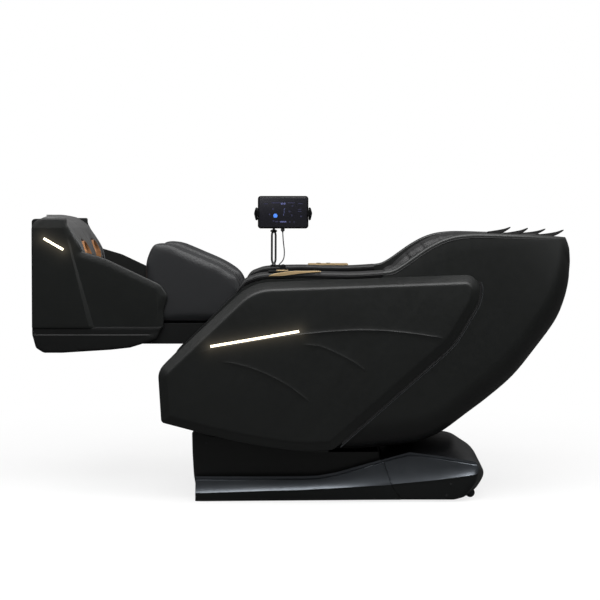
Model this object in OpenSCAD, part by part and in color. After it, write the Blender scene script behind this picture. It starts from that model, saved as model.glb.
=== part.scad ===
// Reclining massage chair in its zero-gravity position.
// X runs from the foot end (-) to the head end (+), -Y is the sitter's left, Z is up, millimetres.
// The origin is on the floor under the middle of the chair. "Left" and "right" are the sitter's.

/* [Body] */
// Width over the two side panels
body_w = 800; // [770:1:850]
// Height of the armrests above the floor
arm_top = 845; // [838:1:852]
// Width of one arm, its panel included
arm_w = 100; // [94:1:108]
// How far a side panel stands out of its arm shell
panel_t = 18; // [12:1:22]
// Width of the bevel round a side panel
panel_bevel = 26; // [16:1:34]
// Wall of the two arm shells
arm_wall = 4; // [3:0.5:8]
// Thickness of an arm's upholstered top
arm_pad_t = 24; // [20:1:28]
// Wall of the back shell
shell_wall = 9; // [6:0.5:10]
// Radius of the back shell's rear corners
shell_corner = 120; // [90:1:140]

/* [Upholstery] */
// Thickness of the seat cushion
seat_t = 72; // [60:1:78]
// Thickness of the back cushion
back_t = 44; // [34:1:46]
// Width of the seat and back cushions
cushion_w = 528; // [480:1:532]
// Thickness of the head pillow
pillow_t = 52; // [40:1:60]
// Width of the head pillow
pillow_w = 380; // [320:1:440]
// Thickness of the airbag liner inside an arm
liner_t = 28; // [20:1:29]

/* [Base] */
// Width of the base over its lower crease
base_w = 584; // [560:1:590]
// Wall of the base covers
cover_wall = 5; // [3:0.5:7]
// Width of the raised front cover
front_cover_w = 500; // [470:1:510]
// Height of the rubber feet
foot_h = 12; // [8:1:16]
// Radius of a rubber foot
foot_r = 24; // [18:1:30]
// Side of the square base tubes
tube = 40; // [30:1:44]
// Wall of the steel tubes
tube_wall = 2.5; // [1.5:0.5:4]
// Radius of a transport wheel
wheel_r = 17; // [14:0.5:19]
// Width of a transport wheel
wheel_w = 22; // [16:1:26]

/* [Tilt and leg pivots] */
// Radius of the pin that the body tilts on
tilt_pin_r = 12; // [10:0.5:14]
// Radius of the pin that the leg rest turns on
leg_pin_r = 9; // [7:0.5:9.5]
// Thickness of the pivot plates
plate_t = 10; // [6:1:12]
// Radial play of a turning pin
play = 0.06; // [0.04:0.01:0.09]
// Radius of the actuator tubes
motor_r = 21; // [18:1:24]
// Radius of the actuator rods
rod_r = 9; // [7:0.5:11]

/* [Leg rest] */
// Width over the two foot side covers
foot_w = 552; // [530:1:580]
// Thickness of a foot side cover
foot_side_t = 14; // [12:1:18]
// Play between a calf wing and the foot side cover beside it
calf_play = 8; // [6:1:14]
// Thickness of a calf wing
wing_t = 88; // [70:1:100]
// Width of the rib between the two calves
rib_w = 52; // [40:1:70]
// Width of the opening for one foot
well_w = 112; // [100:1:124]
// Distance between the middles of the two foot openings
well_gap = 250; // [236:1:256]
// Radius of the sole rollers
roller_r = 28; // [22:1:32]

/* [Massage head] */
// Radius of the kneading wheels
knead_r = 26; // [20:1:27]
// Width of the massage head
head_w = 296; // [260:1:300]

/* [Tablet] */
// Width of the tablet
tablet_w = 183; // [170:1:200]
// Height of the tablet
tablet_h = 118; // [108:1:126]
// Thickness of the tablet
tablet_t = 10; // [8:0.5:12]
// Diameter of the tablet's lead
cable_d = 4; // [3:0.5:5]
// Radius of the tablet arm's two rods
arm_rod_r = 3; // [2:0.5:4]

/* [Lights and keys] */
// Width of the light strips
strip_w = 8; // [5:0.5:12]
// Depth that a light strip is let in
strip_t = 4; // [3:0.5:6]
// Radius of the arm keys
key_r = 9; // [7:0.5:11]
// Travel of the arm keys
key_travel = 2; // [1:0.5:3]

/* [Hidden] */
$fn = 48;
gap = 0.3;            // clearance between neighbouring pieces
eps = 0.01;

// Levels across the chair, from its middle plane
y_panel = body_w / 2;
y_arm = y_panel - panel_t;
y_inner = y_panel - arm_w;
y_liner = y_inner - liner_t;
y_base = base_w / 2;
y_foot = foot_w / 2;
y_foot_in = y_foot - foot_side_t;
y_calf = y_foot_in - calf_play;

// Pivots, as [x, z]
tilt_at = [-150, 225];
leg_at = [-325, 590];
track_centre = [36, 1451];
tilt_motor_at = [100, 92];
tilt_lug_at = [-60, 370];
tilt_motor_y = -60;

// Colours
black = "#1b1c1e";
leather = "#26272a";
graphite = "#3a3d41";
steel = "#8b8f94";
gold = "#c9a05a";
copper = "#b07a4c";
light = "#fff0d8";

// ---------------------------------------------------------------- outlines

function unit(v) = v / norm(v);

// Points of the fillet of radius r at p, between its neighbours a and b
function fillet(a, p, b, r) =
    let(u = unit(a - p), v = unit(b - p), half = acos(u * v) / 2,
        c = p + unit(u + v) * r / sin(half),
        s = p + u * r / tan(half) - c, e = p + v * r / tan(half) - c,
        a0 = atan2(s[1], s[0]), turn = (atan2(e[1], e[0]) - a0 + 540) % 360 - 180,
        n = 1 + round(abs(turn) / 9))
    [for (i = [0:n]) c + r * [cos(a0 + turn * i / n), sin(a0 + turn * i / n)]];

// A closed clockwise outline from corners [x, z, radius], moved inwards by d; radius 0 keeps a corner sharp
function rounded(vs, d = 0) =
    let(n = len(vs), xz = [for (v = vs) [v[0], v[1]]], q = d == 0 ? xz : inset(xz, d))
    [for (i = [0:n - 1])
        let(a = q[(i + n - 1) % n], b = q[i], c = q[(i + 1) % n], bulge = cross(b - a, c - b) < 0 ? d : -d)
        each vs[i][2] > 0 ? fillet(a, b, c, max(vs[i][2] - bulge, 1)) : [b]];

// The same clockwise outline moved inwards by d along its edge normals
function inset(pts, d) =
    let(n = len(pts))
    [for (i = [0:n - 1])
        let(u = unit(pts[i] - pts[(i + n - 1) % n]), v = unit(pts[(i + 1) % n] - pts[i]),
            nu = [u[1], -u[0]], nv = [v[1], -v[0]])
        pts[i] + (nu + nv) * d / (1 + nu * nv)];

// A plate with outline pts in XZ, from y0 to y1
module plate(pts, y0, y1) translate([0, y1, 0]) rotate([90, 0, 0]) linear_extrude(y1 - y0) polygon(pts);

// A round bar along Y
module bar_y(at, r, y0, y1) translate([at[0], y0, at[1]]) rotate([-90, 0, 0]) cylinder(r = r, h = y1 - y0);

// A band of a ring round the track's centre, between radii r0 and r1 and angles a0 and a1
module arc_band(r0, r1, a0, a1, y0, y1)
    translate([track_centre[0], 0, track_centre[1]]) rotate([90, 0, 0]) rotate([0, 0, a0])
        rotate_extrude(angle = a1 - a0, $fn = 180) translate([r0, -y1]) square([r1 - r0, y1 - y0]);

// The point at radius r and angle a round the track's centre
function on_track(r, a) = track_centre + r * [cos(a), sin(a)];

// A solid through closed sections, each a list of as many [x, y, z] points. The sections of a wall
// run along its outside and back along its inside.
module loft(sections, wall = false) {
    n = len(sections);
    m = len(sections[0]);
    polyhedron([for (s = sections) each s], concat(
        wall ? [for (j = [0:m / 2 - 2]) each [[j, j + 1, m - 2 - j], [j, m - 2 - j, m - 1 - j]]]
            : [[for (j = [0:m - 1]) j]],
        [for (i = [0:n - 2], j = [0:m - 1]) let(k = (j + 1) % m) each
            [[i * m + j, (i + 1) * m + j, (i + 1) * m + k], [i * m + j, (i + 1) * m + k, i * m + k]]],
        wall ? let(e = (n - 1) * m) [for (j = [0:m / 2 - 2]) each
            [[e + j, e + m - 2 - j, e + j + 1], [e + j, e + m - 1 - j, e + m - 2 - j]]]
            : [[for (j = [m - 1:-1:0]) (n - 1) * m + j]]));
}

function reversed(v) = [for (i = [len(v) - 1:-1:0]) v[i]];

// A plate with these corners, moved inwards by d at each level y; steps are [y, d]
module shaped(corners, steps)
    loft([for (k = steps) [for (p = rounded(corners, k[1])) [p[0], k[0], p[1]]]]);

// Draws children at +Y for the right side and mirrored for the left
module side(s) { if (s > 0) children(); else mirror([0, 1, 0]) children(); }

// ---------------------------------------------------------------- outlines of the body, as [x, z, radius]

arm_front = [-514, 490, 60];
arm_corner = [-498, 306, 34];
arm_sole = [[-250, 238, 2000], [0, 197, 800]];

panel_corners = concat([arm_front,
    [-178, arm_top - 39, 80], [646, arm_top - 9, 54], [641, 740, 140], [548, 584, 320], [116, 206, 34]],
    [arm_sole[1], arm_sole[0], arm_corner]);

// Profile of the armrest's top, from the front to the shoulder
pad_line = [[-206, arm_top - 29], [-176, arm_top - 15], [-129, arm_top - 4], [-4, arm_top],
    [176, arm_top - 3], [296, arm_top + 3]];
arm_end = [98 - 1.5 * gap, 196];                // the shells meet along this line, up to the pad line's end
arm_lean = (pad_line[5][0] - 98) / (pad_line[5][1] - 196);
function at_arm_end(z) = [arm_end[0] + arm_lean * (z - 196), z];
arm_corners = concat([[-514, 490, 60], [-262, 742, 0]],
    [for (i = [0:4]) [pad_line[i][0], pad_line[i][1] - arm_pad_t - gap, 0]],
    [concat(at_arm_end(pad_line[5][1] - arm_pad_t - gap), 0)],
    [concat(arm_end, 0), [0, 197, 500], arm_sole[0], arm_corner]);

// Rear curve and top edge of the back shell, station by station, as [x, z, half width]
shell_rear = [[98, 196, y_arm], [190, 192, y_arm], [290, 201, y_arm], [380, 211, y_arm], [445, 224, y_arm],
    [515, 256, y_arm], [600, 318, y_arm], [690, 386, y_arm], [776, 461, y_arm - 2], [855, 556, y_arm - 8],
    [930, 655, y_arm - 18], [967, 730, y_arm - 34], [989, 806, y_arm - 54], [993, 862, y_arm - 74],
    [989, 915, y_arm - 98]];
shell_top = [[296, arm_top + 3], [330, arm_top + 9], [365, arm_top + 28], [402, arm_top + 54],
    [450, arm_top + 87], [500, arm_top + 114], [552, arm_top + 131], [612, arm_top + 138],
    [676, arm_top + 138],
    [740, arm_top + 136], [804, arm_top + 134], [862, arm_top + 131], [912, arm_top + 128],
    [948, arm_top + 125], [968, arm_top + 123]];

// ---------------------------------------------------------------- base

// Draws children in a frame that has +X along the line from a to b
module along(a, b, y)
    translate([a[0], y, a[1]]) rotate([0, -atan2(b[1] - a[1], b[0] - a[0]), 0]) children();

// A square tube along X, and one along Y
module tube_x(x0, x1, y, z) translate([x0, y, z]) difference() {
    cube([x1 - x0, tube, tube]);
    translate([-1, tube_wall, tube_wall]) cube([x1 - x0 + 2, tube - 2 * tube_wall, tube - 2 * tube_wall]);
}
module tube_y(x, y0, y1, z) translate([x, y0, z]) difference() {
    cube([tube, y1 - y0, tube]);
    translate([tube_wall, -1, tube_wall]) cube([tube - 2 * tube_wall, y1 - y0 + 2, tube - 2 * tube_wall]);
}

rail_y = 180;                // inner face of the base's long tubes
rail_x = [-376, 590];
cross_x = [-340, 84, 430];
wheel_at = [628, 19];
axle_r = 4;
fork_w = wheel_w + 2;

module base_frame() color(graphite) for (s = [-1, 1]) side(s) {
    tube_x(rail_x[0], rail_x[1], rail_y, foot_h);
    for (x = cross_x) tube_y(x, 0, rail_y, foot_h);
    difference() {
        plate(rounded([[tilt_at[0], tilt_at[1] + 60, 24], [tilt_at[0] + 110, foot_h + tube, 0],
            [tilt_at[0] - 110, foot_h + tube, 0]]), rail_y + 8, rail_y + 8 + plate_t);
        bar_y(tilt_at, tilt_pin_r + play, rail_y, rail_y + 30);
    }
    for (y = [rail_y + tube / 2 - fork_w / 2 - 6, rail_y + tube / 2 + fork_w / 2])
        plate(rounded([[550, foot_h + tube, 0], [600, foot_h + tube, 14], [wheel_at[0] + 12, 32, 10],
            [wheel_at[0] + 12, 9, 8], [600, 9, 0], [590, foot_h, 0], [550, foot_h, 0]]), y, y + 6);
    bar_y(wheel_at, axle_r, rail_y + tube / 2 - fork_w / 2, rail_y + tube / 2 + fork_w / 2);
    if (s < 0) for (y = [-tilt_motor_y - 20, -tilt_motor_y + 11])
        plate(rounded([[tilt_motor_at[0] - 16, tilt_motor_at[1] + 16, 15],
            [tilt_motor_at[0] + 16, tilt_motor_at[1] + 16, 15], [cross_x[1] + tube, foot_h + tube, 0],
            [cross_x[1], foot_h + tube, 0]]), y, y + 9);
    if (s < 0) bar_y(tilt_motor_at, 6, -tilt_motor_y - 11, -tilt_motor_y + 11);
}

module floor_feet() color(black) for (s = [-1, 1], x = [-330, 540])
    translate([x, s * (rail_y + tube / 2), 0]) cylinder(r1 = foot_r - 3, r2 = foot_r, h = foot_h);

module tilt_pin() color(steel) difference() {
    bar_y(tilt_at, tilt_pin_r, -(rail_y + 22), rail_y + 22);
    for (s = [-1, 1]) bar_y(tilt_at, tilt_pin_r / 2, s * (rail_y + 20) - 4, s * (rail_y + 20) + 4);
}

front_corners = [[-402, 252, 10], [-270, 250, 60], [58, 212, 20], [84, 181, 8], [288, 181, 10],
    [292, 160, 0], [352, 8, 0],
    [-381, 8, 8], [-387, 44, 60], [-395, 91, 200], [-400, 172, 300]];

module front_cover() color(graphite) {
    yc = front_cover_w / 2;
    difference() {
        shaped(front_corners, [[-yc, 5], [-yc + 8, 0], [yc - 8, 0], [yc, 5]]);
        plate(rounded(front_corners, cover_wall), -yc + cover_wall + 6, yc - cover_wall - 6);
        translate([-375, -yc + 12, -1]) cube([800, 2 * yc - 24, 160]);
        translate([-255, -yc + 12, 40]) cube([326, 2 * yc - 24, 260]);
        for (s = [-1, 1]) side(s)
            translate([-378, rail_y - 6, 5]) cube([800, tube + 12, foot_h + tube + 1]);
    }
    for (s = [-1, 1]) side(s) {
        translate([-384, rail_y, 14]) cube([384 + rail_x[0], tube, 34]);
    }
}

// Levels of the skirt from front to rear, as [x, top, crease, bottom]
skirt_line = [[-387, 88, 35, 8], [-300, 88, 38, 8], [-150, 88, 43, 8], [0, 89, 47, 8], [62, 91, 50, 8],
    [130, 104, 54, 8], [215, 128, 58, 8], [290, 150, 63, 8]];

// Section of the skirt's wall; lean shifts each level along X for the slanted end
function skirt_section(k, lean) = let(t = cover_wall) reversed([
    [k[0], y_base - 12, k[1]], [k[0] + 33 * lean, y_base, k[2]], [k[0] + 66 * lean, y_base - 22, k[3]],
    [k[0] + 66 * lean, y_base - 22 - t, k[3]], [k[0] + 33 * lean, y_base - t, k[2]],
    [k[0], y_base - 12 - t, k[1]]]);

module front_skirt() color(graphite) {
    for (s = [-1, 1]) side(s) {
        loft([for (i = [0:len(skirt_line) - 1])
                skirt_section(skirt_line[i], i == len(skirt_line) - 1 ? 1 : 0)],
            wall = true);
        for (x = [-300, 200]) translate([x, front_cover_w / 2 + gap, 16])
            cube([30, y_base - 18.5 - front_cover_w / 2 - gap, 20]);
        translate([-387, front_cover_w / 2 + gap, 8]) cube([5, y_base - 24 - front_cover_w / 2, 80]);
    }
}

rear_corners = [[296, 160, 0], [397, 180, 80], [560, 168, 120], [656, 147, 26], [666, 114, 24],
    [646, 70, 60], [582, 14, 30], [556, 8, 0], [364, 8, 0]];

module rear_cover() color(graphite) {
    difference() {
        shaped(rear_corners, [[-y_base, 16], [-y_base + 10, 5], [-y_base + 30, 0], [y_base - 30, 0],
            [y_base - 10, 5], [y_base, 16]]);
        intersection() {
            plate(rounded(rear_corners, cover_wall), -y_base + cover_wall + 14, y_base - cover_wall - 14);
            translate([340, -y_base, 9]) cube([400, 2 * y_base, 200]);
        }
        translate([250, -y_base - 1, -20]) cube([150, 2 * y_base + 2, 36]);
        translate([300, -rail_y + 20, 5]) cube([80, 2 * rail_y - 40, 138]);
        translate([360, -y_base + 24, -1]) cube([196, 2 * y_base - 48, 20]);
        for (s = [-1, 1]) side(s) {
            translate([280, rail_y - 6, 5]) cube([320, tube + 12, foot_h + tube + 4]);
            translate([540, rail_y - 6, -1]) cube([118, tube + 12, 66]);
        }
        translate([600, inlet_y - 46, 84]) cube([80, 92, 48]);
    }
    for (s = [-1, 1]) side(s) translate([430, rail_y + tube, 20])
        cube([40, y_base - 18 - rail_y - tube, 20]);
}

inlet_y = 120;
switch_at = [664, 108];
switch_tilt = 8;
rocker_pin_r = 1.5;

module inlet_panel() color(black) difference() {
    translate([642, inlet_y - 46 + gap, 84 + gap]) cube([26, 92 - 2 * gap, 48 - 2 * gap]);
    translate([650, inlet_y - 38, 94]) cube([20, 34, 26]);
    translate([650, inlet_y + 10.4, 92]) cube([20, 21.2, 32]);
    bar_y(switch_at, rocker_pin_r + play, inlet_y + 7, inlet_y + 35);
}

module power_switch() color("#a3241c") {
    translate([switch_at[0], inlet_y + 11, switch_at[1]]) rotate([0, switch_tilt, 0])
        translate([-7, 0, -13]) difference() {
            cube([10, 20, 26]);
            translate([10, -1, 13]) rotate([-90, 0, 0]) scale([0.16, 1, 1]) cylinder(r = 11, h = 22);
        }
    bar_y(switch_at, rocker_pin_r, inlet_y + 8, inlet_y + 34);
}

module control_box() color(steel) {
    translate([250, -120, foot_h + tube]) cube([44, 240, 60]);
    translate([294, -120, foot_h + tube]) cube([176, 240, 74]);
    for (y = [-100:25:100]) translate([300, y, foot_h + tube + 74]) cube([160, 4, 12]);
}

module transport_wheel() color(black) difference() {
    union() {
        bar_y(wheel_at, wheel_r, rail_y + tube / 2 - wheel_w / 2 + 1, rail_y + tube / 2 + wheel_w / 2 - 1);
        bar_y(wheel_at, 9, rail_y + tube / 2 - wheel_w / 2, rail_y + tube / 2 + wheel_w / 2);
    }
    bar_y(wheel_at, axle_r + play, rail_y, rail_y + tube);
}
module transport_wheel_left() side(-1) transport_wheel();
module transport_wheel_right() side(1) transport_wheel();

// Domed screws in the side of the rear cover and of the front cover
module cover_screws() color(steel) for (s = [-1, 1]) side(s) {
    for (p = [[548, 66], [532, 24]]) bar_y(p, 4, y_base, y_base + 1.6);
    bar_y([-350, 208], 4, front_cover_w / 2, front_cover_w / 2 + 1.6);
}

// ---------------------------------------------------------------- tilt actuator

tilt_len = norm(tilt_lug_at - tilt_motor_at);
motor_len = 196;

module tilt_motor() color(graphite) along(tilt_motor_at, tilt_lug_at, tilt_motor_y) {
    difference() {
        union() {
            translate([0, -10, 0]) rotate([-90, 0, 0]) cylinder(r = 15, h = 20);
            translate([0, -10, -15]) cube([40, 20, 30]);
            translate([28, 0, 0]) rotate([0, 90, 0]) cylinder(r = motor_r, h = motor_len - 28);
        }
        translate([0, -11, 0]) rotate([-90, 0, 0]) cylinder(r = 6 + play, h = 22);
        translate([70, 0, 0]) rotate([0, 90, 0]) cylinder(r = rod_r + play, h = motor_len);
    }
    translate([30, -20, 18]) cube([42, 40, 44]);
    translate([72, 0, 44]) rotate([0, 90, 0]) cylinder(r = 18, h = 92);
}

eye_play = 1.4;       // the open end of the linkage, free round its pin
module tilt_rod() color(steel) along(tilt_motor_at, tilt_lug_at, tilt_motor_y) difference() {
    union() {
        translate([80, 0, 0]) rotate([0, 90, 0]) cylinder(r = rod_r, h = tilt_len - 88);
        translate([tilt_len, -9, 0]) rotate([-90, 0, 0]) cylinder(r = 13, h = 18);
    }
    translate([tilt_len, -10, 0]) rotate([-90, 0, 0]) cylinder(r = 6 + eye_play, h = 20);
}

// ---------------------------------------------------------------- body frame

plate_y = 160;               // inner face of the seat frame's side plates
lug_r = 24;
face_r = 996;                // front of the back cushion, from the track's centre
cushion_r = face_r + back_t;
wheel_track_r = cushion_r + 2 + knead_r;
rail_r = cushion_r + 42;
rail_ends = [-81, -37];
head_angle = -58;

seat_top = [[-206, 704], [158, 458]];
seat_n = unit([seat_top[0][1] - seat_top[1][1], seat_top[1][0] - seat_top[0][0]]);
function under_seat(x, d) =
    let(k = (seat_top[1][1] - seat_top[0][1]) / (seat_top[1][0] - seat_top[0][0]))
    [x, seat_top[0][1] + k * (x - seat_top[0][0]) - d / seat_n[1]];

module seat_frame() color(graphite) {
    for (s = [-1, 1]) side(s) difference() {
        plate(rounded([[leg_at[0] - 22, leg_at[1] + 24, 22], concat(under_seat(-200, seat_t + 4), 0),
            concat(under_seat(114, seat_t + 4), 0), [196, 384, 10], [190, 335, 20], [40, 300, 60],
            [tilt_at[0] + 34, tilt_at[1] - 26, lug_r], [tilt_at[0] - 34, tilt_at[1] - 26, lug_r],
            [leg_at[0] - 20, leg_at[1] - 26, 22]]), plate_y, plate_y + plate_t);
        bar_y(tilt_at, tilt_pin_r + play, plate_y - 1, plate_y + plate_t + 1);
        bar_y(leg_at, leg_pin_r + play, plate_y - 1, plate_y + plate_t + 1);
        plate(rounded([[-238, 540, 14], [60, 350, 14], [-80, 320, 14], [-160, 300, 14]]),
            plate_y - 1, plate_y + plate_t + 1);
    }
    plate([under_seat(-204, seat_t + 1), under_seat(118, seat_t + 1), under_seat(118, seat_t + 8),
        under_seat(-204, seat_t + 8)], -cushion_w / 2 + 4, cushion_w / 2 - 4);
    for (p = [[-190, 556], [30, 372]])
        for (s = [-1, 1]) side(s) translate([p[0], plate_y + plate_t, p[1]])
            cube([30, y_arm - arm_wall - plate_y - plate_t, 30]);
    for (y = [tilt_motor_y - 20, tilt_motor_y + 11]) difference() {
        plate(rounded([[tilt_lug_at[0] - 16, under_seat(tilt_lug_at[0] - 16, seat_t + 7.5)[1], 0],
            [tilt_lug_at[0] + 16, under_seat(tilt_lug_at[0] + 16, seat_t + 7.5)[1], 0],
            [tilt_lug_at[0] + 16, tilt_lug_at[1] - 16, 15], [tilt_lug_at[0] - 16, tilt_lug_at[1] - 16, 15]]),
            y, y + 9);
    }
    bar_y(tilt_lug_at, 6, tilt_motor_y - 11, tilt_motor_y + 11);
}

module back_frame() color(graphite) {
    for (s = [-1, 1]) side(s)
        arc_band(rail_r - 14, rail_r + 26, -83.5, -36, plate_y + plate_t, plate_y + plate_t + 8);
    for (a = [-78, -68, -57, -44]) arc_band(rail_r + 22, rail_r + 30, a, a + 1.6,
        -(plate_y + plate_t), plate_y + plate_t);
    for (s = [-1, 1]) side(s) for (p = [[-72, gap], [-50, 2 + gap]])
        translate([on_track(rail_r + 6, p[0])[0] - 12, plate_y + plate_t + 8,
                on_track(rail_r + 6, p[0])[1] - 12])
            cube([24, y_arm - shell_wall - p[1] - plate_y - plate_t - 8, 24]);
}

module track_rails() color(steel) for (s = [-1, 1]) side(s) difference() {
    arc_band(rail_r - 9, rail_r + 9, rail_ends[0], rail_ends[1], plate_y, plate_y + plate_t);
    arc_band(rail_r - 6, rail_r + 6, rail_ends[0] - 1, rail_ends[1] + 1, plate_y - 1, plate_y + plate_t - 3);
}

module leg_hinge_pin() color(steel)
    bar_y(leg_at, leg_pin_r, -(plate_y + 2 * plate_t + 5), plate_y + 2 * plate_t + 5);

// ---------------------------------------------------------------- shells

// A section of the back shell: bottom point b, edge point t and half width w
function shell_section(b, t, w) =
    let(u = t - b, len = norm(u), r = min(shell_corner, len * 0.8), ri = max(r - shell_wall, 2), n = 7,
        m = min(shell_wall, len * 0.5) / len,
        outer = [for (i = [0:n]) let(a = 90 * i / n) [w - r + r * cos(a), (r - r * sin(a)) / len]],
        inner = [for (i = [n:-1:0]) let(a = 90 * i / n)
            [w - shell_wall - ri + ri * cos(a), (ri - ri * sin(a)) / len + m]],
        ring = concat([[w, 1]], outer, [for (i = [n:-1:0]) [-outer[i][0], outer[i][1]]], [[-w, 1]],
            [[-w + shell_wall, 1]], [for (i = [n:-1:0]) [-inner[i][0], inner[i][1]]], inner,
            [[w - shell_wall, 1]]))
    reversed([for (p = ring) [b[0] + u[0] * p[1], p[0], b[1] + u[1] * p[1]]]);

module back_shell() color(black)
    loft([for (i = [0:len(shell_rear) - 1]) shell_section([shell_rear[i][0], shell_rear[i][1]],
        shell_top[i], shell_rear[i][2])], wall = true);

module arm_shell(s) color(black) side(s) difference() {
    plate(rounded(arm_corners), y_inner, y_arm);
    plate(rounded(arm_corners, arm_wall), y_inner - 1, y_arm - arm_wall);
}
module arm_shell_left() arm_shell(-1);
module arm_shell_right() arm_shell(1);

strip_ends = [[-324, 578], [-7, 632]];

// A bar between two points of the XZ plane, from y0 to y1
module strip(p, w, y0, y1) let(d = unit(p[1] - p[0]), n = w / 2 * [-d[1], d[0]])
    plate([p[0] + n, p[1] + n, p[1] - n, p[0] - n], y0, y1);

module side_panel(s) color(black) side(s) difference() {
    shaped(panel_corners, [[y_arm, 0], [y_arm + 4, 0], [y_panel, panel_bevel]]);
    strip(strip_ends, strip_w, y_panel - strip_t, y_panel + 1);
}
module side_panel_left() side_panel(-1);
module side_panel_right() side_panel(1);

module light_strip(s) color(light) side(s) strip(strip_ends, strip_w, y_panel - strip_t, y_panel + 0.5);
module light_strip_left() light_strip(-1);
module light_strip_right() light_strip(1);

// ---------------------------------------------------------------- upholstery of the body

module arm_pad(s) color(leather) side(s)
    plate(concat([[-230, arm_top - 74]], [for (i = [0:4]) pad_line[i]], [at_arm_end(pad_line[5][1])],
        [at_arm_end(pad_line[5][1] - arm_pad_t)], [for (i = [4:-1:0]) pad_line[i] - [0, arm_pad_t]]),
        y_inner, y_arm);
module arm_pad_left() arm_pad(-1);
module arm_pad_right() arm_pad(1);

liner_outline = rounded([[-170, arm_top - 44, 60], [262, arm_top - 24, 60], [150, 470, 40],
    [60, 470, 60], [-196, 640, 40]]);
module arm_liners() color(leather) for (s = [-1, 1]) side(s)
    plate(liner_outline, y_liner, y_inner - gap);

module seat_cushion() color(leather)
    plate(rounded([[seat_top[0][0], seat_top[0][1], 30], [seat_top[1][0], seat_top[1][1], 12],
        concat(under_seat(122, seat_t), 8), concat(under_seat(seat_top[0][0], seat_t), 8)]),
        -cushion_w / 2, cushion_w / 2);

module back_cushion() color(leather)
    arc_band(face_r, cushion_r, -81.6, -31.5, -cushion_w / 2, cushion_w / 2);

module head_pillow() color(leather)
    plate(rounded([concat(on_track(face_r - pillow_t, -37), 24),
        concat(on_track(face_r - pillow_t, -30.5), 20),
        [905, 1008, 22], [958, 1000, 16], [930, 946, 0], concat(on_track(face_r - gap, -31.3), 0),
        concat(on_track(face_r - 2, -36), 0), concat(on_track(face_r - gap, -41), 12)]),
        -pillow_w / 2, pillow_w / 2);

pad_y = cushion_w / 2 + gap;
module shoulder_pad(s) color(leather) side(s) {
    plate(concat([[322, 836], [362, 850], [400, arm_top + 42], [448, arm_top + 80], [500, arm_top + 112],
        [552, arm_top + 132], [612, arm_top + 141], [676, arm_top + 143], [730, arm_top + 141],
        [762, arm_top + 132]], [for (a = [-44:-3:-77]) on_track(cushion_r - 2, a)], [[246, 470]]),
        pad_y, y_arm - shell_wall - 11.6);
    plate(concat([[763, arm_top + 128], [858, arm_top + 122]],
        [for (a = [-33:-3:-42]) on_track(cushion_r - 2, a)]),
        pad_y, pad_y + 34);
}
module shoulder_pad_left() shoulder_pad(-1);
module shoulder_pad_right() shoulder_pad(1);

// ---------------------------------------------------------------- arm trims and keys

trim_t = 6;
trim_left_x = [-122, 69];
trim_right_x = [29, 193];
key_x = [72, 112];
key_y = y_arm - 24;

module arm_trim(x) color(gold) {
    plate(rounded([[x[0], arm_top + trim_t, 4], [x[1], arm_top + trim_t, 4], [x[1], arm_top + gap, 0],
        [x[0], arm_top + gap, 0]]), y_arm - 46, y_arm + 4);
    plate(rounded([[x[0], arm_top + 2, 2], [x[1], arm_top + 2, 2], [x[1], arm_top - 10, 4],
        [x[0], arm_top - 18, 4]]), y_arm + gap, y_arm + 4);
}
module arm_trim_left() side(-1) arm_trim(trim_left_x);
module arm_trim_right() difference() {
    arm_trim(trim_right_x);
    for (x = key_x) translate([x, key_y, arm_top - 1]) cylinder(r = key_r + gap, h = 20);
}
module key_cap(x) color(black) {
    translate([x, key_y, arm_top + 0.6 + key_travel]) cylinder(r = key_r, h = trim_t - 0.6);
}
module key_power() key_cap(key_x[0]);
module key_recline() key_cap(key_x[1]);

// ---------------------------------------------------------------- massage head

head_y = head_w / 2;
module massage_carriage() color(steel) {
    for (s = [-1, 1]) side(s) {
        difference() {
            arc_band(rail_r - 24, rail_r + 16, head_angle - 4.4, head_angle + 4.4, head_y, head_y + 8);
            bar_y(on_track(wheel_track_r, head_angle), 8 + play, head_y - 1, head_y + 9);
        }
        for (a = [-3.8, 3.8]) bar_y(on_track(rail_r, head_angle + a), 5.6, head_y + 4, plate_y + 6);
    }
    arc_band(rail_r + 8, rail_r + 15, head_angle - 4, head_angle - 1.9, -head_y - 1, head_y + 1);
    arc_band(rail_r + 8, rail_r + 15, head_angle + 1.9, head_angle + 4, -head_y - 1, head_y + 1);
    bar_y(on_track(rail_r - 2, head_angle - 3), 15, -90, 90);
    bar_y(on_track(wheel_track_r, head_angle), 8, -head_y - 8, head_y + 8);
}

module kneading_wheels() color(copper) for (s = [-1, 1]) side(s) difference() {
    union() {
        bar_y(on_track(wheel_track_r, head_angle), knead_r - 3, 52, 96);
        bar_y(on_track(wheel_track_r, head_angle), knead_r, 56, 92);
        bar_y(on_track(wheel_track_r, head_angle), 12, 0, 60);
    }
    bar_y(on_track(wheel_track_r, head_angle), 8 + play, -1, 100);
}

// ---------------------------------------------------------------- leg rest

slide_z = 600;
slide_y = 200;
slide_r = 10;
deck_z = 650;

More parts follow.
